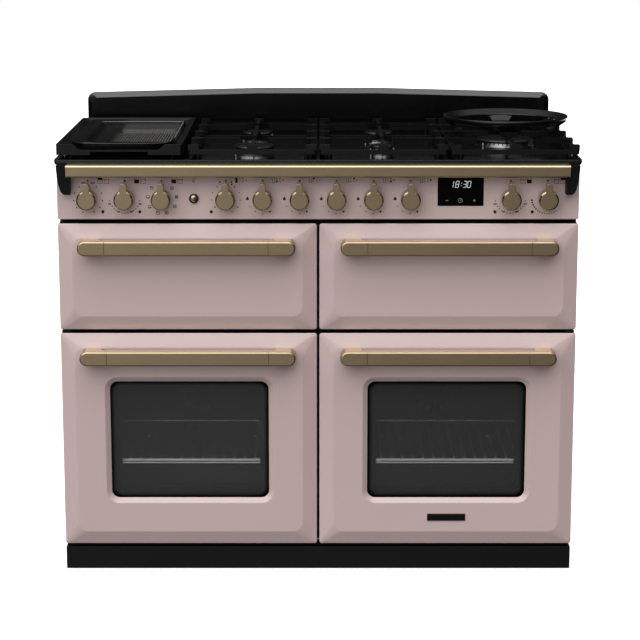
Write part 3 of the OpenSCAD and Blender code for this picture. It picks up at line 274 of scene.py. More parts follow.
def front_shell(bm, centre, height, window=None):
    def at(inset, y):
        r = EDGE_R + (FIELD_R - EDGE_R) * max(inset, 0) / BORDER
        return round_ring(bm, centre, FRONT_W - 2 * inset, height - 2 * inset, r, y)

    outer = [(0, DOOR_T), (0, 0.0016), (0.0003, 0.0007), (0.0011, 0.0001), (0.0022, -0.0005)]
    outer += [(0.0284, -0.00937), (0.0297, -0.0098), (0.0314, -0.01)]
    inner = [(0.0314, -0.0085), (0.0284, -0.0079), (0.0022, 0.0010), (SKIN, 0.0022), (SKIN, DOOR_T)]
    rings = [at(*step) for step in outer]
    if window:
        w, h, r, slope, deep = window
        for grow, y in ((slope + 0.0018, -0.01), (slope + 0.0004, -0.0098), (slope - 0.0008, -0.0090),
                        (0.0008, deep - 0.0107), (0, deep - 0.0098), (0, deep - 0.0086),
                        (0.0006, deep - 0.0086), (slope + 0.0012, -0.0085)):
            rings.append(round_ring(bm, centre, w + 2 * grow, h + 2 * grow, r + grow, y))
        rings += [at(*step) for step in inner]
        loft(bm, rings, closed=True)
    else:
        loft(bm, rings)
        bm.faces.new(rings[-1])
        back = [at(*step) for step in inner]
        loft(bm, back)
        bm.faces.new(back[0])
        loft(bm, [rings[0], back[-1]])


def weigh_normals(piece):
    keep = piece.modifiers.new("even_shading", "WEIGHTED_NORMAL")
    keep.keep_sharp = True
    keep.weight = 60


WINDOW = (0.338, 0.257, 0.017, 0.010, 0.007)
DOOR_H, DOOR_Z, UPPER_H, UPPER_Z, FRONT_X = 0.466, 0.292, 0.227, 0.6465, 0.27425
for side, sign in (("left", -1), ("right", 1)):
    door = mesh_piece(
        side + "_door_front",
        lambda bm: front_shell(bm, (sign * FRONT_X, DOOR_Z), DOOR_H, WINDOW),
        pink, side + "_oven_door", smooth=25)
    weigh_normals(door)
    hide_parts(side + "_door_skin")


# Grill door and drawer front: the same pressing without a window, closed behind by a
# flat plate. The grill door's lower edge has two slots for the arms of its hinges.
def cutter(low, high):
    bm = bmesh.new()
    bmesh.ops.create_cube(bm, size=1)
    for v in bm.verts:
        v.co = Vector([low[i] if v.co[i] < 0 else high[i] for i in range(3)])
    return linked("cut", mesh_of(bm, "cut"))


def applied(piece):
    """Turns a piece and its modifiers into a plain mesh."""
    bpy.context.view_layer.update()
    data = bpy.data.meshes.new_from_object(piece.evaluated_get(bpy.context.evaluated_depsgraph_get()))
    piece.modifiers.clear()
    piece.data = data
    return data


def cut_away(piece, tools):
    """Cuts boxes out of a piece and leaves a plain mesh."""
    for tool in tools:
        step = piece.modifiers.new("cut", "BOOLEAN")
        step.operation, step.solver, step.object = "DIFFERENCE", "EXACT", tool
    smoothed(applied(piece), 25)
    for tool in tools:
        bpy.data.objects.remove(tool)


def back_plate(bm, centre):
    size = (FRONT_W - 2 * SKIN - 0.0002, UPPER_H - 2 * SKIN - 0.0002, EDGE_R)
    loft(bm, [round_ring(bm, centre, *size, y) for y in (DOOR_T - 0.002, DOOR_T - 0.0004)]
         + [round_ring(bm, centre, size[0] - 0.0008, size[1] - 0.0008, EDGE_R, DOOR_T)], caps=True)


for name, sign, body, node in (("grill_door_front", -1, "grill_door", "grill_door_shell"),
                               ("drawer_front_panel", 1, "warming_drawer", "drawer_front")):
    centre = (sign * FRONT_X, UPPER_Z)
    panel = mesh_piece(name, lambda bm: front_shell(bm, centre, UPPER_H), pink, body, smooth=25)
    plate = mesh_piece(node + "_back", lambda bm: back_plate(bm, centre), pink, body)
    if sign < 0:
        for part in (panel, plate):
            cut_away(part, [cutter((x - 0.0025, FRONT_Y + 0.002, 0.531), (x + 0.0025, FRONT_Y + 0.042, 0.550))
                            for x in (-0.5395, -0.009)])
    for part in (panel, plate):
        weigh_normals(part)
        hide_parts(node)


# Control panel: a flat folded steel sheet with eased edges, in the same pink enamel as the
# fronts. It hooks under the hob and is screwed to the frame behind the knobs.
def eased(node, name, material, width=0.0006, segments=2, angle=30, reshape=None):
    """A copy of a CAD piece with its sharp edges eased, which stands for that piece."""
    source = frame["nodes"][node]
    bm = bmesh.new()
    bm.from_mesh(source.data)
    bmesh.ops.transform(bm, matrix=source.matrix_world, verts=bm.verts)
    bmesh.ops.remove_doubles(bm, verts=bm.verts, dist=4e-6)
    if reshape:
        for v in bm.verts:
            reshape(v.co)
    bmesh.ops.dissolve_limit(bm, angle_limit=math.radians(0.6), verts=bm.verts, edges=bm.edges)
    data = mesh_of(bm, name)
    data.materials.append(material)
    piece = linked(name, data)
    ease = piece.modifiers.new("ease", "BEVEL")
    ease.width, ease.segments, ease.limit_method = width, segments, "ANGLE"
    ease.angle_limit, ease.harden_normals, ease.miter_outer = math.radians(angle), False, "MITER_SHARP"
    smoothed(applied(piece), 35)
    weigh_normals(piece)
    body = next(b for b, nodes in frame["record"]["behaviour"]["bodies"].items() if node in nodes)
    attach(piece, body)
    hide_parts(node)


# Behind its front edge the panel is painted black: painted shade for the dark gap between it and the doors.
panel_pink = enamel("panel_enamel", PINK, 0.36, painted_shade_behind=FRONT_Y + 0.0045)
eased("control_panel", "control_panel_front", panel_pink)


# Handles: solid brass bars and end blocks, brushed along their length and lacquered.
# The two end blocks carry the bar, and a fine seam shows where they meet it.
def brass(name, stretch, tone=1.0, rough=0.25, highlight_above=None, highlight_tint=(0.76, 0.62, 0.41)):
    """Brushed brass. Above the given height it is painted a bright tone: a painted highlight, as light from above makes
    along a bar's top.
    """
    finish = Finish(name, {"Metallic": 1.0, "Coat Weight": 0.12, "Coat Roughness": 0.2})
    lines = finish.grain(60, stretch, detail=4, rough=0.7)
    patch = finish.grain(9)
    dark = (0.30 * tone, 0.222 * tone, 0.132 * tone)
    light = (0.44 * tone, 0.338 * tone, 0.212 * tone)
    tint = finish.colour(lines * 0.7 + patch * 0.3, dark, light)
    if highlight_above is not None:
        height = finish.node("ShaderNodeTexCoord", out="Object").xyz()[2]
        tint = finish.colour(height > highlight_above, tint, highlight_tint)
    finish.feed(finish.shader, {"Base Color": tint, "Roughness": rough + lines * 0.14})
    finish.relief(lines, 0.00004, 0.5)
    return finish.material


ALONG_X, LOWER_TOP, UPPER_TOP, RAIL_TOP = (0.6, 14, 14), 0.4945, 0.7295, 0.886
for node, top in (("left_door_handle", LOWER_TOP), ("right_door_handle", LOWER_TOP),
                  ("grill_door_handle", UPPER_TOP), ("drawer_handle", UPPER_TOP)):
    # Each bar is painted bright above its top edge: a painted highlight of the light from above.
    brushed_brass = brass(node + "_brass", ALONG_X, highlight_above=top - 0.0009)
    eased(node, node + "_bar", brushed_brass, width=0.0006, segments=2, angle=40)


# Front rail: a drawn brass bar, brushed like the handles, with a painted highlight along its top
# edge. It is held in two black brackets.
rail_brass = brass("rail_brass", ALONG_X, highlight_above=RAIL_TOP - 0.0012, highlight_tint=(1.0, 0.89, 0.56))
eased("front_rail", "towel_rail", rail_brass, width=0.0006, segments=2, angle=40)


# Rail brackets: iron castings in satin black paint. They are screwed under the two front
# corners of the hob and take the ends of the rail.
def cast(name, colour, rough, grit=0.00012, scale=700, shine=0.25, glaze=0.0):
    finish = Finish(name, {"Specular IOR Level": shine, "Coat Weight": glaze, "Coat Roughness": 0.16})
    sand = finish.grain(scale, detail=4)
    cloud = finish.grain(14)
    dark, light = tuple(c * 0.75 for c in colour), tuple(c * 1.3 for c in colour)
    finish.feed(finish.shader, {
        "Base Color": finish.colour(sand * 0.5 + cloud * 0.5, dark, light),
        "Roughness": rough + 0.12 * cloud,
    })
    finish.relief(sand, grit, 0.6)
    return finish.material


bracket_black = cast("bracket_black", (0.003, 0.003, 0.0032), 0.4, 0.00003, shine=0.12)
eased("rail_end_brackets", "rail_brackets", bracket_black, width=0.0012, segments=3)


# Knobs: turned brass. The sanded face and its pointer are one flat outline, with a polished
# bevel behind the face that widens to the drum.
fine_brass = brass("sanded_brass", (9, 9, 9))
polished_brass = brass("polished_brass", (9, 9, 9), 0.95, rough=0.12)


def turned_ring(bm, x, z, r, y, steps=72):
    return [bm.verts.new((x + r * math.cos(t), FRONT_Y + y, z + r * math.sin(t)))
            for t in (math.tau * i / steps for i in range(steps))]


KNOB_Z, KNOB_FACE, KNOB_BACK = 0.813, -0.0375, -0.0025


def knob_face(bm, x):
    face_r, half_w, reach, deep = 0.0176, 0.007, 0.036, 0.017

    def outline(shrink, y):
        r, w = face_r - shrink, half_w - shrink
        start = math.asin(w / r)
        ring = []
        for i in range(61):
            a = math.pi / 2 - start - (math.tau - 2 * start) * i / 60
            ring.append((r * math.cos(a), r * math.sin(a)))
        tip = reach - half_w
        for i in range(17):
            a = math.pi - math.pi * i / 16
            ring.append((w * math.cos(a), tip + w * math.sin(a)))
        return [bm.verts.new((x + u, FRONT_Y + y, KNOB_Z + v)) for u, v in ring]

    loft(bm, [outline(s, KNOB_FACE + d) for s, d in
              ((0.0008, 0), (0.0004, 0.0001), (0.0001, 0.0004), (0, 0.0009), (0, deep))], caps=True)


def knob_drum(bm, x):
    profile = ((0.0040, KNOB_BACK + 0.0002), (0.0195, KNOB_BACK), (0.0203, KNOB_BACK - 0.0004),
               (0.0205, KNOB_BACK - 0.0012), (0.0206, KNOB_FACE + 0.0046), (0.0205, KNOB_FACE + 0.0040),
               (0.0201, KNOB_FACE + 0.0034), (0.0178, KNOB_FACE + 0.0010), (0.004, KNOB_FACE + 0.0010))
    loft(bm, [turned_ring(bm, x, KNOB_Z, r, y) for r, y in profile], caps=True)


PITCH = 0.0772
knob_x = {"grill_knob": -0.327 - 2 * PITCH, "left_oven_temperature_knob": -0.327 - PITCH,
          "left_oven_function_knob": -0.327, "griddle_knob": -2.5 * PITCH, "right_oven_knob": 0.402,
          "drawer_knob": 0.402 + PITCH}
knob_x.update({"burner_knob_%d" % (i + 1): (i - 1.5) * PITCH for i in range(5)})
for node, x in knob_x.items():
    for part, build, metal in (("face", knob_face, fine_brass), ("drum", knob_drum, polished_brass)):
        turned = mesh_piece(node + "_" + part, lambda bm: build(bm, x), metal, node, smooth=30)
        weigh_normals(turned)
        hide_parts(node)


# Light button: a small polished brass dome on a spring, in a black moulded bezel that is
# pressed into the panel.
def refinish(node, material):
    """Gives a CAD piece its finish."""
    finishes = frame["nodes"][node].data.materials
    finishes.clear()
    finishes.append(material)


refinish("light_button", polished_brass)
BUTTON_X = -0.260
bezel_black = enamel("bezel_black", (0.003, 0.003, 0.003), 0.25, shift=0.1, coat=0.0)


def bezel(bm):
    rings = [turned_ring(bm, BUTTON_X, KNOB_Z, r, y, 48) for r, y in
             ((0.0066, 0.0018), (0.0066, -0.0022), (0.0069, -0.0026), (0.0090, -0.0026),
              (0.0098, -0.0021), (0.0101, -0.0010), (0.0101, 0.0018))]
    loft(bm, rings, closed=True)


button_ring = mesh_piece("light_button_bezel", bezel, bezel_black, "cooker_body")


# Dial marks: dark print on the enamel. Dots count the heat, bars and small frames show
# which compartment or burner a knob serves.
def mottled(name, sockets, scale, dark, light, rough=None, grit=None, into="Base Color", detail=3):
    """A finish that clouds between two tones. Roughness starts at rough[0] and rises by rough[1]
    with the cloud. Grit gives its relief: the scale, the height and the strength."""
    finish = Finish(name, sockets)
    cloud = finish.grain(scale, detail=detail, rough=0.7 if detail == 5 else 0.55)
    finish.feed(finish.shader, {into: finish.colour(cloud, dark, light)})
    if rough:
        finish.feed(finish.shader, {"Roughness": rough[0] + rough[1] * cloud})
    if grit:
        finish.relief(finish.grain(grit[0]), *grit[1:])
    return finish.material


print_ink = mottled("print_ink", {"Roughness": 0.6, "Specular IOR Level": 0.1}, 300,
                    (0.006, 0.006, 0.006), (0.012, 0.011, 0.011))
INK_Y = 0.0019


class Print:
    """Flat marks laid on the control panel, placed in millimetres from a knob's middle."""

    def __init__(self, bm, x, y=INK_Y, z=KNOB_Z, thick=0.00012):
        self.bm, self.x, self.y, self.z, self.thick = bm, x, y, z, thick

    def shape(self, points):
        front, back = [], []
        for u, v in points:
            spot = (self.x + u / 1000, FRONT_Y + self.y, self.z + v / 1000)
            front.append(self.bm.verts.new(spot))
            back.append(self.bm.verts.new((spot[0], spot[1] + self.thick, spot[2])))
        self.bm.faces.new(front)
        self.bm.faces.new(back[::-1])
        for i in range(len(points)):
            j = (i + 1) % len(points)
            self.bm.faces.new((front[i], front[j], back[j], back[i]))

    def dot(self, u, v, r=0.8):
        turn = (math.tau * i / 14 for i in range(14))
        self.shape([(u + r * math.cos(a), v + r * math.sin(a)) for a in turn])

    def bar(self, u0, v0, u1, v1):
        self.shape([(u0, v0), (u1, v0), (u1, v1), (u0, v1)])

    def line(self, u0, v0, u1, v1, w=0.5):
        run = Vector((u1 - u0, v1 - v0)).normalized() * (w / 2)
        side = Vector((-run.y, run.x))
        self.shape([(u0 + side.x, v0 + side.y), (u1 + side.x, v1 + side.y),
                    (u1 - side.x, v1 - side.y), (u0 - side.x, v0 - side.y)])

    def box(self, u0, v0, u1, v1, w=0.75):
        self.line(u0, v0, u1, v0, w)
        self.line(u0, v1, u1, v1, w)
        self.line(u0, v0, u0, v1, w)
        self.line(u1, v0, u1, v1, w)

    def ring(self, u, v, r, w=0.4):
        turn = [math.tau * i / 16 for i in range(17)]
        for a, b in zip(turn, turn[1:]):
            self.line(u + r * math.cos(a), v + r * math.sin(a), u + r * math.cos(b), v + r * math.sin(b), w)


def compartments(p, u, v, filled):
    """Four small frames, the two ovens under the grill and the drawer, with one filled."""
    for column in (0, 1):
        a = u + column * 13.4
        for row, (low, high) in enumerate(((v - 3.8, v + 3.6), (v + 3.9, v + 8.4))):
            if (column, row) == filled:
                p.bar(a - 5.0, low, a + 5.0, high)
            else:
                p.box(a - 4.8, low, a + 4.8, high)


def hob_map(p, which):
    """The hob in little: a bar for the griddle, dots for the burners, with one filled."""
    u, v = 22.7, 38.5
    if which == 0:
        p.bar(u - 2.4, v - 6.2, u + 2.4, v + 6.2)
    else:
        p.box(u - 2.4, v - 6.0, u + 2.4, v + 6.0)
    spots = {1: (29.4, 35.4), 2: (29.4, 41.6), 3: (36.2, 41.6), 4: (36.2, 35.4), 5: (42.4, 38.5)}
    for i, (a, b) in spots.items():
        if i == which:
            p.dot(a, b, 2.2)
        else:
            p.ring(a, b, 1.5, 0.6)


def off_mark(p):
    p.ring(0.3, 36.6, 1.5, 1.2)
    p.line(0.3, 36.4, 0.3, 38.8, 1.1)


def heat_scale(p, labels):
    for i in range(15):
        a = math.radians(190 + i * 160 / 14)
        p.dot(31.7 * math.cos(a), 31.7 * math.sin(a), 1.2)
    for u, v in labels:
        p.bar(u - 3.1, v - 1.2, u + 3.1, v + 1.2)


def dial_marks(bm):
    def at(name):
        p = Print(bm, knob_x[name])
        off_mark(p)
        return p

    p = at("grill_knob")
    p.bar(-13.5, 31.0, -4.8, 33.3)
    p.bar(5.4, 31.0, 15.2, 33.3)
    for u in (-17.7, 18.2):
        p.bar(u - 0.8, 22.4, u + 0.8, 26.0)
    for u, v in ((-27.4, 11.2), (28.3, 10.7), (-29.8, -4.9), (30.5, -4.9), (-23.8, -19.5), (24.8, -19.5),
                 (-11.1, -29.2), (12.5, -28.7)):
        p.dot(u, v, 1.5)
    compartments(p, 26.2, 35.2, (0, 1))
    for name, column in (("left_oven_temperature_knob", 0), ("right_oven_knob", 1)):
        p = at(name)
        heat_scale(p, ((-32, -12), (32, -12), (-13.5, -28.5), (13.5, -28.5)))
        compartments(p, 25.6, 35.2, (column, 0))
    p = at("left_oven_function_knob")
    spots = ((-20.3, 21.5), (21.7, 21.5), (-28.8, 2.8), (31, 2.8),
             (-25.6, -17.7), (27.2, -17.1), (-8.5, -30.5), (10, -30.5))
    for i, (u, v) in enumerate(spots):
        p.box(u - 3.0, v - 2.8, u + 3.0, v + 2.8, 1.0)
        if i % 2:
            p.ring(u, v, 1.3, 0.9)
        if i in (0, 3, 6):
            p.line(u - 2.2, v + 1.4, u + 2.2, v + 1.4, 1.2)
        if i in (2, 3, 4):
            p.line(u - 2.2, v - 1.4, u + 2.2, v - 1.4, 1.2)
    compartments(p, 25.8, 35.2, (0, 0))
    p = Print(bm, BUTTON_X)
    p.ring(0, 38.6, 2.7, 0.9)
    p.bar(-1.3, 33.5, 1.3, 35.6)
    p = at("griddle_knob")
    for u, v, r in ((-12.2, 34.0, 1.9), (12.4, 34.0, 1.9), (12.4, 28.9, 1.8), (-12.2, 28.9, 0.8),
                    (-27.2, 11.6, 1.2), (28.4, 11.6, 1.2), (-29.4, -3.6, 1.2), (30.2, -3.6, 1.2),
                    (-10.2, -27.8, 1.1), (12.6, -27.8, 1.1)):
        p.dot(u, v, r)
    for u in (-18.2, 18.2):
        p.bar(u - 0.8, 22.4, u + 0.8, 26.0)
    for u in (-23.2, 24.8):
        p.bar(u - 2.1, -19.5, u + 2.1, -17.5)
    hob_map(p, 0)
    for i in range(1, 6):
        p = at("burner_knob_%d" % i)
        p.shape([(-34.7, -3.9), (-29.1, -3.9), (-28.6, -1.3), (-30.2, 1.1), (-31.9, 4.6), (-33.6, 1.1),
                 (-35.2, -1.3)])
        for u, v, r in ((-27.5, -17.2, 1.15), (-16.1, -28.2, 1.25), (-0.6, -32.6, 1.25), (14.9, -28.2, 2.1)):
            p.dot(u, v, r)
        hob_map(p, i)
    p = at("drawer_knob")
    for i in range(14):
        a = math.radians(187 + i * 9.2)
        p.dot(32.4 * math.cos(a), 32.4 * math.sin(a), 2.1 * (1 - i / 20))
    compartments(p, 18.7, 35.2, (1, 1))


marks = mesh_piece("dial_marks", dial_marks, print_ink, "cooker_body", smooth=60)


# Indicator lamps: small domed lenses of dark green plastic, pressed into holes in the
# panel below the knobs.
lens = mottled("lamp_lens", {"Roughness": 0.2, "Specular IOR Level": 0.25}, 200,
               (0.0015, 0.0024, 0.0022), (0.003, 0.005, 0.0045))


def lamp_lenses(bm):
    for name, u in (("grill_knob", 30.7), ("left_oven_temperature_knob", 30.9), ("griddle_knob", -30.7),
                    ("right_oven_knob", -31.7), ("drawer_knob", -30.9)):
        profile = (0.0033, 0.0024), (0.0033, 0.0012), (0.0030, 0.0006), (0.0021, 0.0001), (0.0010, -0.0002)
        loft(bm, [turned_ring(bm, knob_x[name] + u / 1000, KNOB_Z - 0.0285, r, y, 20) for r, y in profile],
             caps=True)


lamps = mesh_piece("indicator_lamps", lamp_lenses, lens, "cooker_body", smooth=50)


# Clock: black glass set flush in the panel, with four lit digits and three touch marks
# behind it, all generic.
gloss_black = mottled("black_glass", {"Roughness": 0.05, "Specular IOR Level": 0.04}, 6,
                      (0.0010, 0.0010, 0.0012), (0.0018, 0.0018, 0.0020))
lit = mottled("clock_digits", {"Roughness": 0.4, "Emission Strength": 0.75, "Base Color": (0.02, 0.02, 0.02, 1)},
              900, (0.62, 0.66, 0.70), (0.92, 0.95, 1.0), into="Emission Color")
dim = mottled("touch_marks", {"Roughness": 0.4, "Emission Strength": 0.26, "Base Color": (0.02, 0.02, 0.02, 1)},
              900, (0.6, 0.62, 0.66), (0.8, 0.83, 0.88), into="Emission Color")
CLOCK_X, DIGITS_Z, TOUCH_Z, LIT_Y = 0.298, 0.8425, 0.8085, 0.00086


def digits(bm):
    """Seven-segment digits that lean a little, as on a clock."""
    p = Print(bm, CLOCK_X, LIT_Y, DIGITS_Z)
    segments = {"8": "abcdefg", "1": "bc", "3": "abgcd", "0": "abcdef"}
    w, h, lean = 3.15, 6.5, 0.17

    def bar(u0, v0, u1, v1, t=1.15):
        run = Vector((u1 - u0, v1 - v0))
        n = run.normalized()
        s = Vector((-n.y, n.x)) * (t / 2)
        e = n * (t / 2)
        pts = [(u0 + e.x + s.x, v0 + e.y + s.y), (u1 - e.x + s.x, v1 - e.y + s.y), (u1, v1),
               (u1 - e.x - s.x, v1 - e.y - s.y), (u0 + e.x - s.x, v0 + e.y - s.y), (u0, v0)]
        p.shape([(a + b * lean, b) for a, b in pts])

    for spot, digit in zip((-18.6, -7.4, 8.6, 17.4), "1830"):
        for s in segments[digit]:
            u0, v0, u1, v1 = {"a": (-w, h, w, h), "b": (w, h, w, 0), "c": (w, 0, w, -h), "d": (-w, -h, w, -h),
                              "e": (-w, -h, -w, 0), "f": (-w, 0, -w, h), "g": (-w, 0, w, 0)}[s]
            bar(spot + u0, v0, spot + u1, v1)
    for v in (2.6, -2.6):
        p.dot(1.2 + v * lean, v, 0.8)


def touch_marks(bm):
    p = Print(bm, CLOCK_X, LIT_Y, TOUCH_Z)
    for u0, v0, u1, v1, w in ((-31.2, 0, -26, 0, 1.1), (26, 0, 31.4, 0, 1.1), (28.7, -2.7, 28.7, 2.7, 1.1),
                              (-0.6, 0, -0.6, 2.6, 0.8), (-0.6, 0, 1.4, 0, 0.8)):
        p.line(u0, v0, u1, v1, w)
    p.ring(-0.6, 0, 4.4, 0.8)


for name, build, finish in (("clock_digits", digits, lit), ("clock_touch_marks", touch_marks, dim)):
    glow = mesh_piece(name, build, finish, "cooker_body", smooth=60)
eased("clock_module", "clock_glass", gloss_black, width=0.0004)


# Badge plate: a bare black plate with a brass edge, stuck to the right oven door below
# its window.
PLATE, PLATE_W, PLATE_H = (0.2757, 0.1213), 0.083, 0.0165
for name, shrink, depths, metal, slot in (("badge_edge", 0.0, (-0.0098, -0.0112), fine_brass, "brass"),
                                          ("badge_face", 0.0022, (-0.0100, -0.0116), bracket_black, "black_enamel")):
    plate = mesh_piece(name, lambda bm: loft(
        bm, [round_ring(bm, PLATE, PLATE_W - shrink, PLATE_H - shrink, 0.0018, y, steps=4) for y in depths],
        caps=True), metal, "right_oven_door")


# Hob: one tray pressed from sheet steel, with a rolled rim, in gloss black enamel. It
# rests on the frame and the side panels.
black_gloss = enamel("hob_enamel", (0.002, 0.002, 0.0022), 0.14, shift=0.2, coat=0.0)
eased("hob_tray", "hob_surface", black_gloss, width=0.0022, segments=4, angle=50)


# Splashback: a folded sheet in the same black enamel, arched along its top and screwed up
# behind the hob. Its faces that turn upward over the sloping fold are painted grey: a painted highlight of the light
# from above.
splash_black = Finish("splash_enamel", {"Roughness": 0.2, "Specular IOR Level": 0.2})
upward = splash_black.node("ShaderNodeNewGeometry", out="Normal").xyz()[2]
cloud = splash_black.grain(3)
splash_black.feed(splash_black.shader, {
    "Base Color": splash_black.colour(upward.slide(0.15, 0.45, 0.0, 1.0) * (0.85 + 0.3 * cloud),
                                      (0.0013, 0.0013, 0.0015), (0.095, 0.095, 0.097))})
splash_black.relief(splash_black.grain(420, detail=1), 0.00002)
eased("splashback", "splash_panel", splash_black.material, width=0.0012, segments=3, angle=25)


# Cast hob set: pan supports, wok ring, griddle frame and burner caps, sand-cast iron
# under matt black enamel. Their arrises are rounded by the enamel.
iron = cast("cast_iron_enamel", (0.0030, 0.0030, 0.0032), 0.34, 0.00005, 420, shine=0.05, glaze=0.4)
for node in ("pan_support_left", "pan_support_centre", "pan_support_right"):
    eased(node, node + "_casting", iron, width=0.0016, segments=3, angle=40)
eased("wok_ring", "wok_ring_casting", iron, width=0.0009, segments=2, angle=40)
eased("griddle_frame", "griddle_frame_casting", iron, width=0.0016, segments=3, angle=35)
eased("burner_caps", "burner_cap_castings", iron, width=0.0005, segments=2, angle=40)


# Griddle: a cast dish with a pouring lip, a ribbed floor and a raised shelf behind it,
# under a dark speckled non-stick coat. It hangs by its rim in the cast frame.
coat = Finish("griddle_coat", {"Specular IOR Level": 0.12})
speck = coat.grain(520, detail=2, rough=0.8)
flecks = (speck > 0.58) * 1.0
x, y, z = coat.node("ShaderNodeTexCoord", out="Object").xyz()
# Painted light and shade on the coat: the dish is painted dark at its left, front and back and between the ribs, where
# shade falls, and lighter on the rib tops, the shelf and the rim, with thin painted highlights along the front lip and
# the rear edge.
rim = z.slide(0.9227, 0.9231, 0.0, 1.0)
painted_light = x.slide(-0.462, -0.425, 0.0, 1.0) * y.slide(-0.150, -0.120, 0.0, 1.0) * y.slide(0.150, 0.172, 1.0, 0.2)
painted_light = painted_light * z.slide(0.9126, 0.9146, 0.10, 1.0)
front_lip, rear_edge = y.slide(-0.215, -0.205, 0.45, 0.0), y.slide(0.168, 0.173, 0.0, 0.9)
rim_highlights = rim * x.slide(-0.500, -0.490, 0.0, 1.0) * (front_lip + rear_edge * y.slide(0.180, 0.183, 1.0, 0.0))
painted_light = painted_light + (1 - painted_light) * rim_highlights
shaded_speckle = coat.colour(flecks, (0.0012, 0.0012, 0.0012), (0.010, 0.010, 0.0095))
lit_speckle = coat.colour(flecks, (0.022, 0.022, 0.020), (0.075, 0.073, 0.067))
highlight_lines = rim + y.slide(0.036, 0.040, 0.35, 0.0) + y.slide(0.046, 0.052, 0.25, 0.0)
lit_speckle = coat.colour(highlight_lines, lit_speckle, (0.15, 0.147, 0.138))
coat.feed(coat.shader, {"Base Color": coat.colour(painted_light, shaded_speckle, lit_speckle), "Roughness": 0.42 - flecks * 0.1,
                        "Metallic": 0.9 - painted_light * 0.9})
coat.relief(speck, 0.0001, 0.5)


DISH_LEFT, DISH_RIGHT, DISH_FRONT, DISH_BACK = -0.5248, -0.3072, -0.2255, 0.2265
LIP_BOW, BROAD_LEFT, BROAD_BACK = 0.009, 0.024, 0.045


def dish_ring(bm, inset, z):
    """Ring round the dish at height z. The front side bows forward as a lip, and the rim is
    broad at the left and the back."""
    left, right, front, back = DISH_LEFT + inset, DISH_RIGHT - 0.4 * inset, DISH_FRONT + inset, DISH_BACK - inset
    if inset > 0.004:
        left, back = left + BROAD_LEFT, back - BROAD_BACK
    sharp, soft = max(0.019 - 0.4 * inset, 0.008), max(0.042 - 0.5 * inset, 0.02)
    ring = []
    for k, (sx, sy, r) in enumerate(((right, back, sharp), (left, back, sharp),
                                     (left, front, soft), (right, front, soft))):
        for i in range(11):
            a = math.pi / 2 * (k + i / 10)
            ring.append([sx + (r if sx == left else -r) + r * math.cos(a),
                         sy + (r if sy == front else -r) + r * math.sin(a)])
        if k == 2:
            start, stop = left + soft, right - soft
            ring += [[start + (stop - start) * i / 13, front] for i in range(1, 13)]
    middle, half = (left + right) / 2, (right - left) / 2
    made = []
    for x, y in ring:
        ahead = min(max((front + 0.06 - y) / 0.06, 0), 1)
        bow = LIP_BOW * ahead * ahead * max(1 - ((x - middle) / half) ** 2, 0)
        made.append(bm.verts.new((x, y - bow, z)))
    return made


def griddle_dish(bm):
    loft(bm, [dish_ring(bm, inset, z) for inset, z in (
        (0.004, 0.9089), (0.0012, 0.9095), (0, 0.9110), (0, 0.9216), (0.0006, 0.9228), (0.0018, 0.9235),
        (0.0050, 0.9235), (0.0062, 0.9229), (0.0090, 0.9205), (0.0150, 0.9152), (0.0185, 0.9134), (0.0230, 0.9128))],
        caps=True)


def griddle_shelf(bm):
    rings = []
    for inset, z in ((-0.002, 0.9120), (0, 0.9160), (0.0006, 0.9186), (0.0020, 0.9196), (0.0040, 0.9199)):
        ring = []
        for k, (x, y) in enumerate(((-0.3125, 0.1650), (-0.4400, 0.1650), (-0.4400, 0.0400), (-0.3125, 0.0400))):
            for i in range(7):
                a, r = math.pi / 2 * (k + i / 6), 0.016
                ring.append(bm.verts.new((x + (1 if k in (1, 2) else -1) * (r + inset) + r * math.cos(a),
                                          y + (1 if k in (2, 3) else -1) * (r + inset) + r * math.sin(a), z)))
        rings.append(ring)
    loft(bm, rings, caps=True)


class Pattern(Graph):
    """A Geometry Nodes tree with named inputs, for pieces that repeat."""

    def __init__(self, name, inputs):
        super().__init__(bpy.data.node_groups.new(name, "GeometryNodeTree"))
        for title, kind in {**inputs, "Material": "Material"}.items():
            self.tree.interface.new_socket(title, in_out="INPUT", socket_type="NodeSocket" + kind)
        self.tree.interface.new_socket("Geometry", in_out="OUTPUT", socket_type="NodeSocketGeometry")
        self.start = self.tree.nodes.new("NodeGroupInput")

    def given(self, title):
        return Field(self, self.start.outputs[title])

    def finish(self, shapes):
        solid = self.node("GeometryNodeRealizeInstances", {0: shapes})
        painted = self.node("GeometryNodeSetMaterial", {"Geometry": solid, "Material": self.given("Material")})
        self.feed(self.tree.nodes.new("NodeGroupOutput"), {0: painted})

    def make(self, name, body, values, points=None):
        """Runs the tree on the points, or on nothing, and leaves a plain mesh that rides on a body."""
        piece = linked(name, points or bpy.data.meshes.new(name))
        step = piece.modifiers.new("pattern", "NODES")
        step.node_group = self.tree
        for item in self.tree.interface.items_tree:
            if item.in_out == "INPUT" and item.name in values:
                step[item.identifier] = values[item.name]
        smoothed(applied(piece), 35)
        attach(piece, body)
        return piece


ribs = Pattern("griddle_ribs", {"Count": "Int", "Start": "Vector", "Pitch": "Float", "Length": "Float",
                                "Width": "Float", "Height": "Float"})
across = ribs.node("ShaderNodeCombineXYZ", {"X": ribs.given("Pitch")})
feet = ribs.node("GeometryNodeMeshLine", {"Count": ribs.given("Count"), "Start Location": ribs.given("Start"),
                                          "Offset": across})
far_end = ribs.node("ShaderNodeCombineXYZ", {"Y": ribs.given("Length")})
run = ribs.node("GeometryNodeCurvePrimitiveLine", {"End": far_end})
section = ribs.node("GeometryNodeCurvePrimitiveCircle", {"Resolution": 8, "Radius": 1.0})
bar = ribs.node("GeometryNodeCurveToMesh", {"Curve": run, "Profile Curve": section, "Fill Caps": True})
shape = ribs.node("ShaderNodeCombineXYZ", {"X": ribs.given("Width") * 0.5, "Y": 1.0, "Z": ribs.given("Height")})
bar = ribs.node("GeometryNodeTransform", {"Geometry": bar, "Scale": shape})
ribs.finish(ribs.node("GeometryNodeInstanceOnPoints", {"Points": feet, "Instance": bar}))

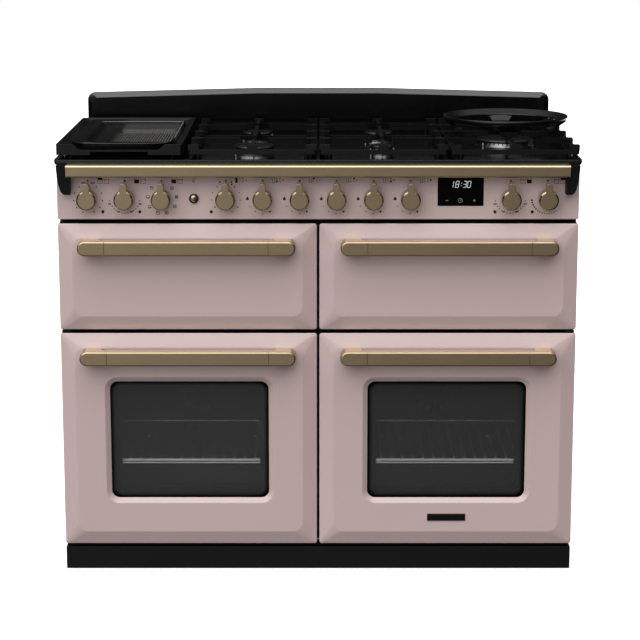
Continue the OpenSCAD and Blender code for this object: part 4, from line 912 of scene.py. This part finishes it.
dish = mesh_piece("griddle_dish", griddle_dish, coat.material, "griddle", smooth=30)
shelf = mesh_piece("griddle_shelf", griddle_shelf, coat.material, "griddle", smooth=40)
ridges = ribs.make("griddle_ridges", "griddle", {
    "Count": 26, "Start": (-0.4535, -0.130, 0.9127), "Pitch": 0.0056, "Length": 0.156,
    "Width": 0.0034, "Height": 0.0024, "Material": coat.material})
for part in (dish, shelf, ridges):
    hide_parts("griddle")


# Burner crowns: cast aluminium, machined on top and slotted round for the flames. Each
# sits loose on its gas mixer in the hob.
alloy = mottled("cast_aluminium", {"Metallic": 1.0}, 500, (0.16, 0.16, 0.165), (0.30, 0.30, 0.31),
                rough=(0.16, 0.2), grit=(500, 0.00006, 0.6))
eased("burner_heads", "burner_crowns", alloy, width=0.0003, segments=1, angle=40)


# Spark electrodes and flame probes: a white ceramic sleeve round a steel pin, and a bare
# steel pin opposite, which come up through the hob beside each burner.
BURNERS = ((-0.1375, -0.123, 0.046), (-0.1375, 0.127, 0.036), (0.1375, 0.127, 0.036), (0.1375, -0.123, 0.028),
           (0.4125, 0.002, 0.064))


PROBE_GAP, SPARK_SIDE, FLAME_SIDE = 0.0052, 42, 222


def beside_burners(angle, profile, sides=16):
    """A small turned piece that stands upright at this angle beside each burner."""
    turn = [2 * math.pi * i / sides for i in range(sides)]

    def build(bm):
        a = math.radians(angle)
        for x, y, r in BURNERS:
            cx, cy = x + (r + PROBE_GAP) * math.cos(a), y + (r + PROBE_GAP) * math.sin(a)
            loft(bm, [[bm.verts.new((cx + w * math.cos(t), cy + w * math.sin(t), z)) for t in turn]
                      for w, z in profile], caps=True)
    return build


ceramic = mottled("glazed_ceramic", {"Roughness": 0.25}, 200, (0.62, 0.60, 0.56), (0.78, 0.77, 0.73),
                  grit=(900, 0.00003))
pin_steel = mottled("pin_steel", {"Metallic": 1.0}, 160, (0.20, 0.17, 0.15), (0.42, 0.40, 0.38), rough=(0.3, 0.2))
SLEEVE = (0.0030, 0.8893), (0.0030, 0.8915), (0.0022, 0.8922), (0.0022, 0.8975), (0.0017, 0.8985)
SPARK = (0.0008, 0.8980), (0.0008, 0.9012), (0.0004, 0.9018)
FLAME = (0.0032, 0.8893), (0.0032, 0.8908), (0.0016, 0.8914), (0.0016, 0.9000), (0.0009, 0.9010)
mesh_piece("spark_sleeves", beside_burners(SPARK_SIDE, SLEEVE), ceramic, "cooker_body")
for name, angle, profile in (("spark_pins", SPARK_SIDE, SPARK), ("flame_probes", FLAME_SIDE, FLAME)):
    mesh_piece(name, beside_burners(angle, profile), pin_steel, "cooker_body")


# Hotplate: smooth black glass ceramic, set flat in the hob under the griddle and heated
# from below.
eased("griddle_hotplate", "ceramic_hotplate", gloss_black, width=0.0008)


# Plinth: folded steel sheet in satin black paint, clipped to the frame. A second fold
# closes its top.
def slab(bm, low, high, ease):
    """A flat box with its long edges eased."""
    rings = []
    for z, inset in ((low[2], ease), (low[2] + ease, 0), (high[2] - ease, 0), (high[2], ease)):
        rings.append([bm.verts.new((x, y, z)) for x, y in (
            (low[0] + inset, low[1] + inset), (high[0] - inset, low[1] + inset),
            (high[0] - inset, high[1] - inset), (low[0] + inset, high[1] - inset))])
    loft(bm, rings, caps=True)


satin_black = enamel("plinth_paint", (0.003, 0.003, 0.0032), 0.42, peel=0.00001, shift=0.1, coat=0.0, shine=0.2)
eased("plinth", "plinth_panel", satin_black, width=0.0007, segments=2)
FOLD_LOW, FOLD_HIGH = (-0.5440, -0.2620, 0.0522), (0.5440, -0.2255, 0.0534)
back_fold = mesh_piece("plinth_return", lambda bm: slab(bm, FOLD_LOW, FOLD_HIGH, 0.0003), satin_black, "cooker_body")


# Window panes: toughened tinted glass with a black printed margin on the room side, held
# in the door's opening by its back.
CLEAR_W, CLEAR_H = 0.290, 0.208


def pane_finish(name, cx):
    """Tinted glass with a black print towards its edge. The clear part shows the oven."""
    pane = Finish(name, {"Roughness": 0.03, "Specular IOR Level": 0.5})
    x, _, z = pane.node("ShaderNodeTexCoord", out="Object").xyz()
    over_x, over_z = abs(x - cx) - CLEAR_W / 2, abs(z - DOOR_Z) - CLEAR_H / 2
    out_x, out_z = over_x.math("MAXIMUM", over_x, 0.0), over_z.math("MAXIMUM", over_z, 0.0)
    edge = ((out_x * out_x + out_z * out_z) ** 0.5).slide(0.008, 0.024, 0.0, 1.0)
    pane.feed(pane.shader, {
        "Base Color": pane.colour(edge, (0.060, 0.060, 0.0615), (0.0008, 0.0008, 0.0008)),
        "Alpha": 0.22 + edge * 0.78,
        "Metallic": edge,
    })
    return pane.material


for side, sign in (("left", -1), ("right", 1)):
    refinish(side + "_door_glass", pane_finish(side + "_window_glass", sign * FRONT_X))


# Shelves: chromed steel wire, welded, which hang in the ovens' side ladders. The front
# wires glow a little, painted light for the room's light on them, and a second rod guards each shelf's front.
wire = Finish("chromed_wire", {"Metallic": 1.0, "Emission Strength": 0.26})
# The wires near the front glow: painted light, which fades towards the back.
front_glow = wire.node("ShaderNodeTexCoord", out="Object").xyz()[1].slide(-0.206, -0.180, 1.0, 0.06)
wire.feed(wire.shader, {
    "Base Color": wire.colour(wire.grain(40), (0.62, 0.62, 0.63), (0.78, 0.78, 0.79)),
    "Roughness": 0.14 + 0.12 * wire.grain(90),
    "Emission Color": wire.colour(front_glow, (0.0, 0.0, 0.0), (0.8, 0.8, 0.82))})


def rod(bm, start, end, radius, sides=12):
    """A round bar with flat ends."""
    along = (Vector(end) - Vector(start)).normalized()
    side = along.orthogonal().normalized()
    up = along.cross(side)
    turn = [2 * math.pi * i / sides for i in range(sides)]
    loft(bm, [[bm.verts.new(Vector(p) + radius * (math.cos(t) * side + math.sin(t) * up)) for t in turn]
              for p in (start, end)], caps=True)


RACK_Y, GUARD_Z, SHELF_Z, RACK_HALF, POST_PITCH = -0.2140, 0.2236, 0.2285, 0.2125, 0.0475


def rack_fronts(bm):
    for x in (-FRONT_X, FRONT_X):
        rod(bm, (x - RACK_HALF, RACK_Y, GUARD_Z), (x + RACK_HALF, RACK_Y, GUARD_Z), 0.0018)
        for i in range(-4, 5):
            post = x + i * POST_PITCH
            rod(bm, (post, RACK_Y, GUARD_Z), (post, RACK_Y, SHELF_Z), 0.0012, 8)


guard = mesh_piece("rack_front_rods", rack_fronts, wire.material, "cooker_body")


# Inside: oven linings, pans and door backs in vitreous enamel with pale flecks, galvanised
# drawer and motors, blackened fans, painted frame, woven door seals and moulded controls.
lining = Finish("oven_lining", {"Roughness": 0.25, "Coat Weight": 0.3})
fleck = lining.grain(700, detail=1) > 0.68
lining.feed(lining.shader, {"Base Color": lining.colour(fleck, (0.018, 0.018, 0.020), (0.16, 0.16, 0.17))})
lining.relief(lining.grain(300), 0.00004)
ZINC = (0.33, 0.34, 0.35), (0.56, 0.57, 0.58)
galvanised = mottled("galvanised_sheet", {"Metallic": 0.85}, 26, *ZINC, rough=(0.34, 0.22), grit=(160, 0.00004),
                     detail=5)
panel_paint = enamel("side_panel_paint", (0.006, 0.006, 0.0065), 0.45, peel=0.00003, shift=0.1, coat=0.0, shine=0.3)
fan_steel = mottled("fan_steel", {"Metallic": 1.0}, 30, (0.03, 0.03, 0.03), (0.12, 0.115, 0.11), rough=(0.4, 0.2))
element = mottled("element_tube", {"Metallic": 0.7}, 60, (0.07, 0.065, 0.06), (0.20, 0.18, 0.16),
                  rough=(0.45, 0.2), detail=4)
moulded = mottled("moulded_plastic", {"Roughness": 0.5}, 800, (0.010, 0.010, 0.011), (0.02, 0.02, 0.022),
                  grit=(800, 0.00004))
gasket = Finish("woven_gasket", {"Roughness": 0.85})
weave = gasket.node("ShaderNodeTexWave", {"Vector": gasket.node("ShaderNodeTexCoord", out="Object"),
                                          "Scale": 420.0, "Distortion": 1.5}, out="Fac")
gasket.feed(gasket.shader, {"Base Color": gasket.colour(weave, (0.03, 0.03, 0.03), (0.11, 0.105, 0.10))})
gasket.relief(weave, 0.0004)
inside = {
    lining.material: ("oven_liners", "grill_liner", "oven_fan_covers", "grill_pan", "left_door_liner",
                      "right_door_liner"),
    wire.material: ("oven_racks", *("burner_spindle_%d" % i for i in range(1, 6))),
    galvanised: ("drawer_box", "fan_motors", "levelling_feet"),
    fan_steel: ("left_oven_fan", "right_oven_fan"),
    panel_paint: ("chassis_frame",),
    element: ("grill_element",),
    gasket.material: ("door_seals",),
    moulded: ("taps_and_switches",),
}
for material, nodes in inside.items():
    for node in nodes:
        refinish(node, material)


# Oven lamps: a ribbed glass lens in a steel ring, high on each oven's rear wall.
LAMP_ASIDE, LAMP_Z = 0.172, 0.448


def lamp_part(profile):
    def build(bm):
        for x in (-FRONT_X - LAMP_ASIDE, FRONT_X - LAMP_ASIDE):
            loft(bm, [turned_ring(bm, x, LAMP_Z, r, y - FRONT_Y, 32) for r, y in profile], caps=True)
    return build


GLOW = {"Emission Strength": 0.15, "Emission Color": (1.0, 0.93, 0.8, 1)}
lamp_glass = mottled("lamp_glass", {"Roughness": 0.12, **GLOW}, 120, (0.55, 0.54, 0.50), (0.72, 0.71, 0.66))
DOME = ((0.0200, 0.1818), (0.0200, 0.1760), (0.0180, 0.1725), (0.0140, 0.1705), (0.0138, 0.1712),
        (0.0090, 0.1698), (0.0088, 0.1705), (0.0030, 0.1693))
COLLAR = (0.0255, 0.1818), (0.0255, 0.1790), (0.0240, 0.1775), (0.0205, 0.1775), (0.0202, 0.1817)
lenses = mesh_piece("oven_lamp_lenses", lamp_part(DOME), lamp_glass, "cooker_body", smooth=50)
lamp_ring = mesh_piece("oven_lamp_rings", lamp_part(COLLAR), pin_steel, "cooker_body")


# Outer panels: painted black at the sides. The back is one bare galvanised sheet, slotted
# for air and screwed on round its edge.
sheets = Finish("outer_sheets", {})
x, y, z = sheets.node("ShaderNodeTexCoord", out="Object").xyz()
BACK_EDGE, BACK_INNER, BACK_PLANE = 0.5440, 0.3198, 0.3228
bare = (y > BACK_INNER) * (BACK_EDGE - 0.00005 - abs(x) > 0.0)
spangle = sheets.grain(26, detail=5, rough=0.7)
paint = sheets.colour(sheets.grain(3), (0.005, 0.005, 0.0055), (0.008, 0.008, 0.0085))
zinc = sheets.colour(spangle, *ZINC)
sheets.feed(sheets.shader, {"Base Color": sheets.colour(bare, paint, zinc), "Metallic": bare * 0.85,
                            "Roughness": 0.42 + bare * (spangle * 0.22 - 0.06)})
sheets.relief(sheets.grain(160), 0.00004)


def sink_back(co):
    """The back sheet lies 1.2 mm inside the flanges, so that its screw heads don't stand proud."""
    if co.y > 0.3235 and abs(co.x) < BACK_EDGE:
        co.y = BACK_PLANE


eased("outer_panels", "outer_sheets", sheets.material, width=0.0003, segments=1, angle=50,
      reshape=sink_back)


# Screws: steel pan heads with a cross, zinc-plated on the back and the fan covers, black on
# the sides and the door backs. They are one pattern, run once for each group.
bm = bmesh.new()
rings = []
for wide, narrow, z in ((0.5, 0.5, 0), (0.5, 0.5, 0.35), (0.45, 0.45, 0.70), (0.36, 0.36, 0.92), (0.29, 0.29, 1.0),
                        (0.26, 0.07, 0.97), (0.26, 0.07, 0.35)):
    turn = [(wide if i % 3 == 0 else narrow, math.pi / 6 * i) for i in range(12)]
    rings.append([bm.verts.new((r * math.cos(a), r * math.sin(a), z)) for r, a in turn])
loft(bm, rings, caps=True)
bmesh.ops.recalc_face_normals(bm, faces=bm.faces)
head = linked("screw_head", mesh_of(bm, "screw_head"))

screws = Pattern("screw_heads", {"Places": "Geometry", "Head": "Object", "Width": "Float", "Height": "Float",
                                 "Seed": "Int"})
shape = screws.node("GeometryNodeObjectInfo", {"Object": screws.given("Head")}, out="Geometry")
facing = screws.node("GeometryNodeInputNamedAttribute", {"Name": "facing"}, out="Attribute", data_type="FLOAT_VECTOR")
aim = screws.node("FunctionNodeAlignRotationToVector", {"Vector": facing}, axis="Z")
width = screws.given("Width")
size = screws.node("ShaderNodeCombineXYZ", {"X": width, "Y": width, "Z": screws.given("Height")})
placed = screws.node("GeometryNodeInstanceOnPoints", {"Points": screws.given("Places"), "Instance": shape,
                                                      "Rotation": aim, "Scale": size})
chance = screws.node("FunctionNodeRandomValue", {2: 0.0, 3: 6.28, "Seed": screws.given("Seed")}, out=1,
                     data_type="FLOAT")
spin = screws.node("ShaderNodeCombineXYZ", {"Z": chance})
screws.finish(screws.node("GeometryNodeRotateInstances", {"Instances": placed, "Rotation": spin}))

zinc_plate = mottled("zinc_plate", {"Metallic": 1.0}, 300, (0.42, 0.42, 0.43), (0.62, 0.62, 0.64), rough=(0.25, 0.2))
black_screw = cast("black_screw_paint", (0.008, 0.008, 0.0085), 0.35, 0.00002)
SIDE_X, HEAD_HEIGHT, DOOR_BACK, COVER_Y, BACK_SCREW_Y = 0.5460, 0.0013, -0.2361, 0.1531, 0.3227
OUT, IN = (0, 1, 0), (0, -1, 0)
back_edge = [(x, z) for x in (-0.535, -0.36, -0.18, 0, 0.18, 0.36, 0.535) for z in (0.068, 0.874)]
back_edge += [(x, z) for x in (-0.535, 0.535) for z in (0.20, 0.36, 0.52, 0.68)]
side_edge = [(side, y, z) for side in (-1, 1) for y in (-0.214, 0.306) for z in (0.09, 0.28, 0.47, 0.66, 0.85)]
fan_covers = [(x + a, z) for x in (-FRONT_X, FRONT_X) for a in (-0.124, 0.124) for z in (0.183, 0.401)]
oven_door = [(x, z) for x in (0.022, 0.526) for z in (0.092, 0.292, 0.492)]
grill_door = [(x, z) for x in (0.022, 0.274, 0.526) for z in (0.556, 0.746)]
for name, body, material, width, places in (
        ("back_screws", "cooker_body", zinc_plate, 0.0085, [((x, BACK_SCREW_Y, z), OUT) for x, z in back_edge]),
        ("side_screws", "cooker_body", black_screw, 0.0080, [((x * SIDE_X, y, z), (x, 0, 0)) for x, y, z in side_edge]),
        ("fan_cover_screws", "cooker_body", zinc_plate, 0.0070, [((x, COVER_Y, z), IN) for x, z in fan_covers]),
        ("left_door_screws", "left_oven_door", black_screw, 0.0075, [((-x, DOOR_BACK, z), OUT) for x, z in oven_door]),
        ("right_door_screws", "right_oven_door", black_screw, 0.0075, [((x, DOOR_BACK, z), OUT) for x, z in oven_door]),
        ("grill_door_screws", "grill_door", black_screw, 0.0075, [((-x, DOOR_BACK, z), OUT) for x, z in grill_door])):
    spots = bpy.data.meshes.new(name + "_places")
    spots.from_pydata([p for p, _ in places], [], [])
    for value, (_, way) in zip(spots.attributes.new("facing", "FLOAT_VECTOR", "POINT").data, places):
        value.vector = way
    screws.make(name, body, {"Head": head, "Width": width, "Height": HEAD_HEIGHT, "Seed": 7, "Material": material},
                spots)
bpy.data.objects.remove(head)


# Floor: pale matt paper under the cooker, part of the studio and not of the cooker. It is
# lit a little from within, so that it stays as pale as the room behind.
floor.data.materials.append(mottled(
    "studio_floor", {"Roughness": 0.9, "Emission Strength": 0.5, "Emission Color": (1, 1, 1, 1)}, 3,
    (0.86, 0.86, 0.86), (0.89, 0.89, 0.89)))
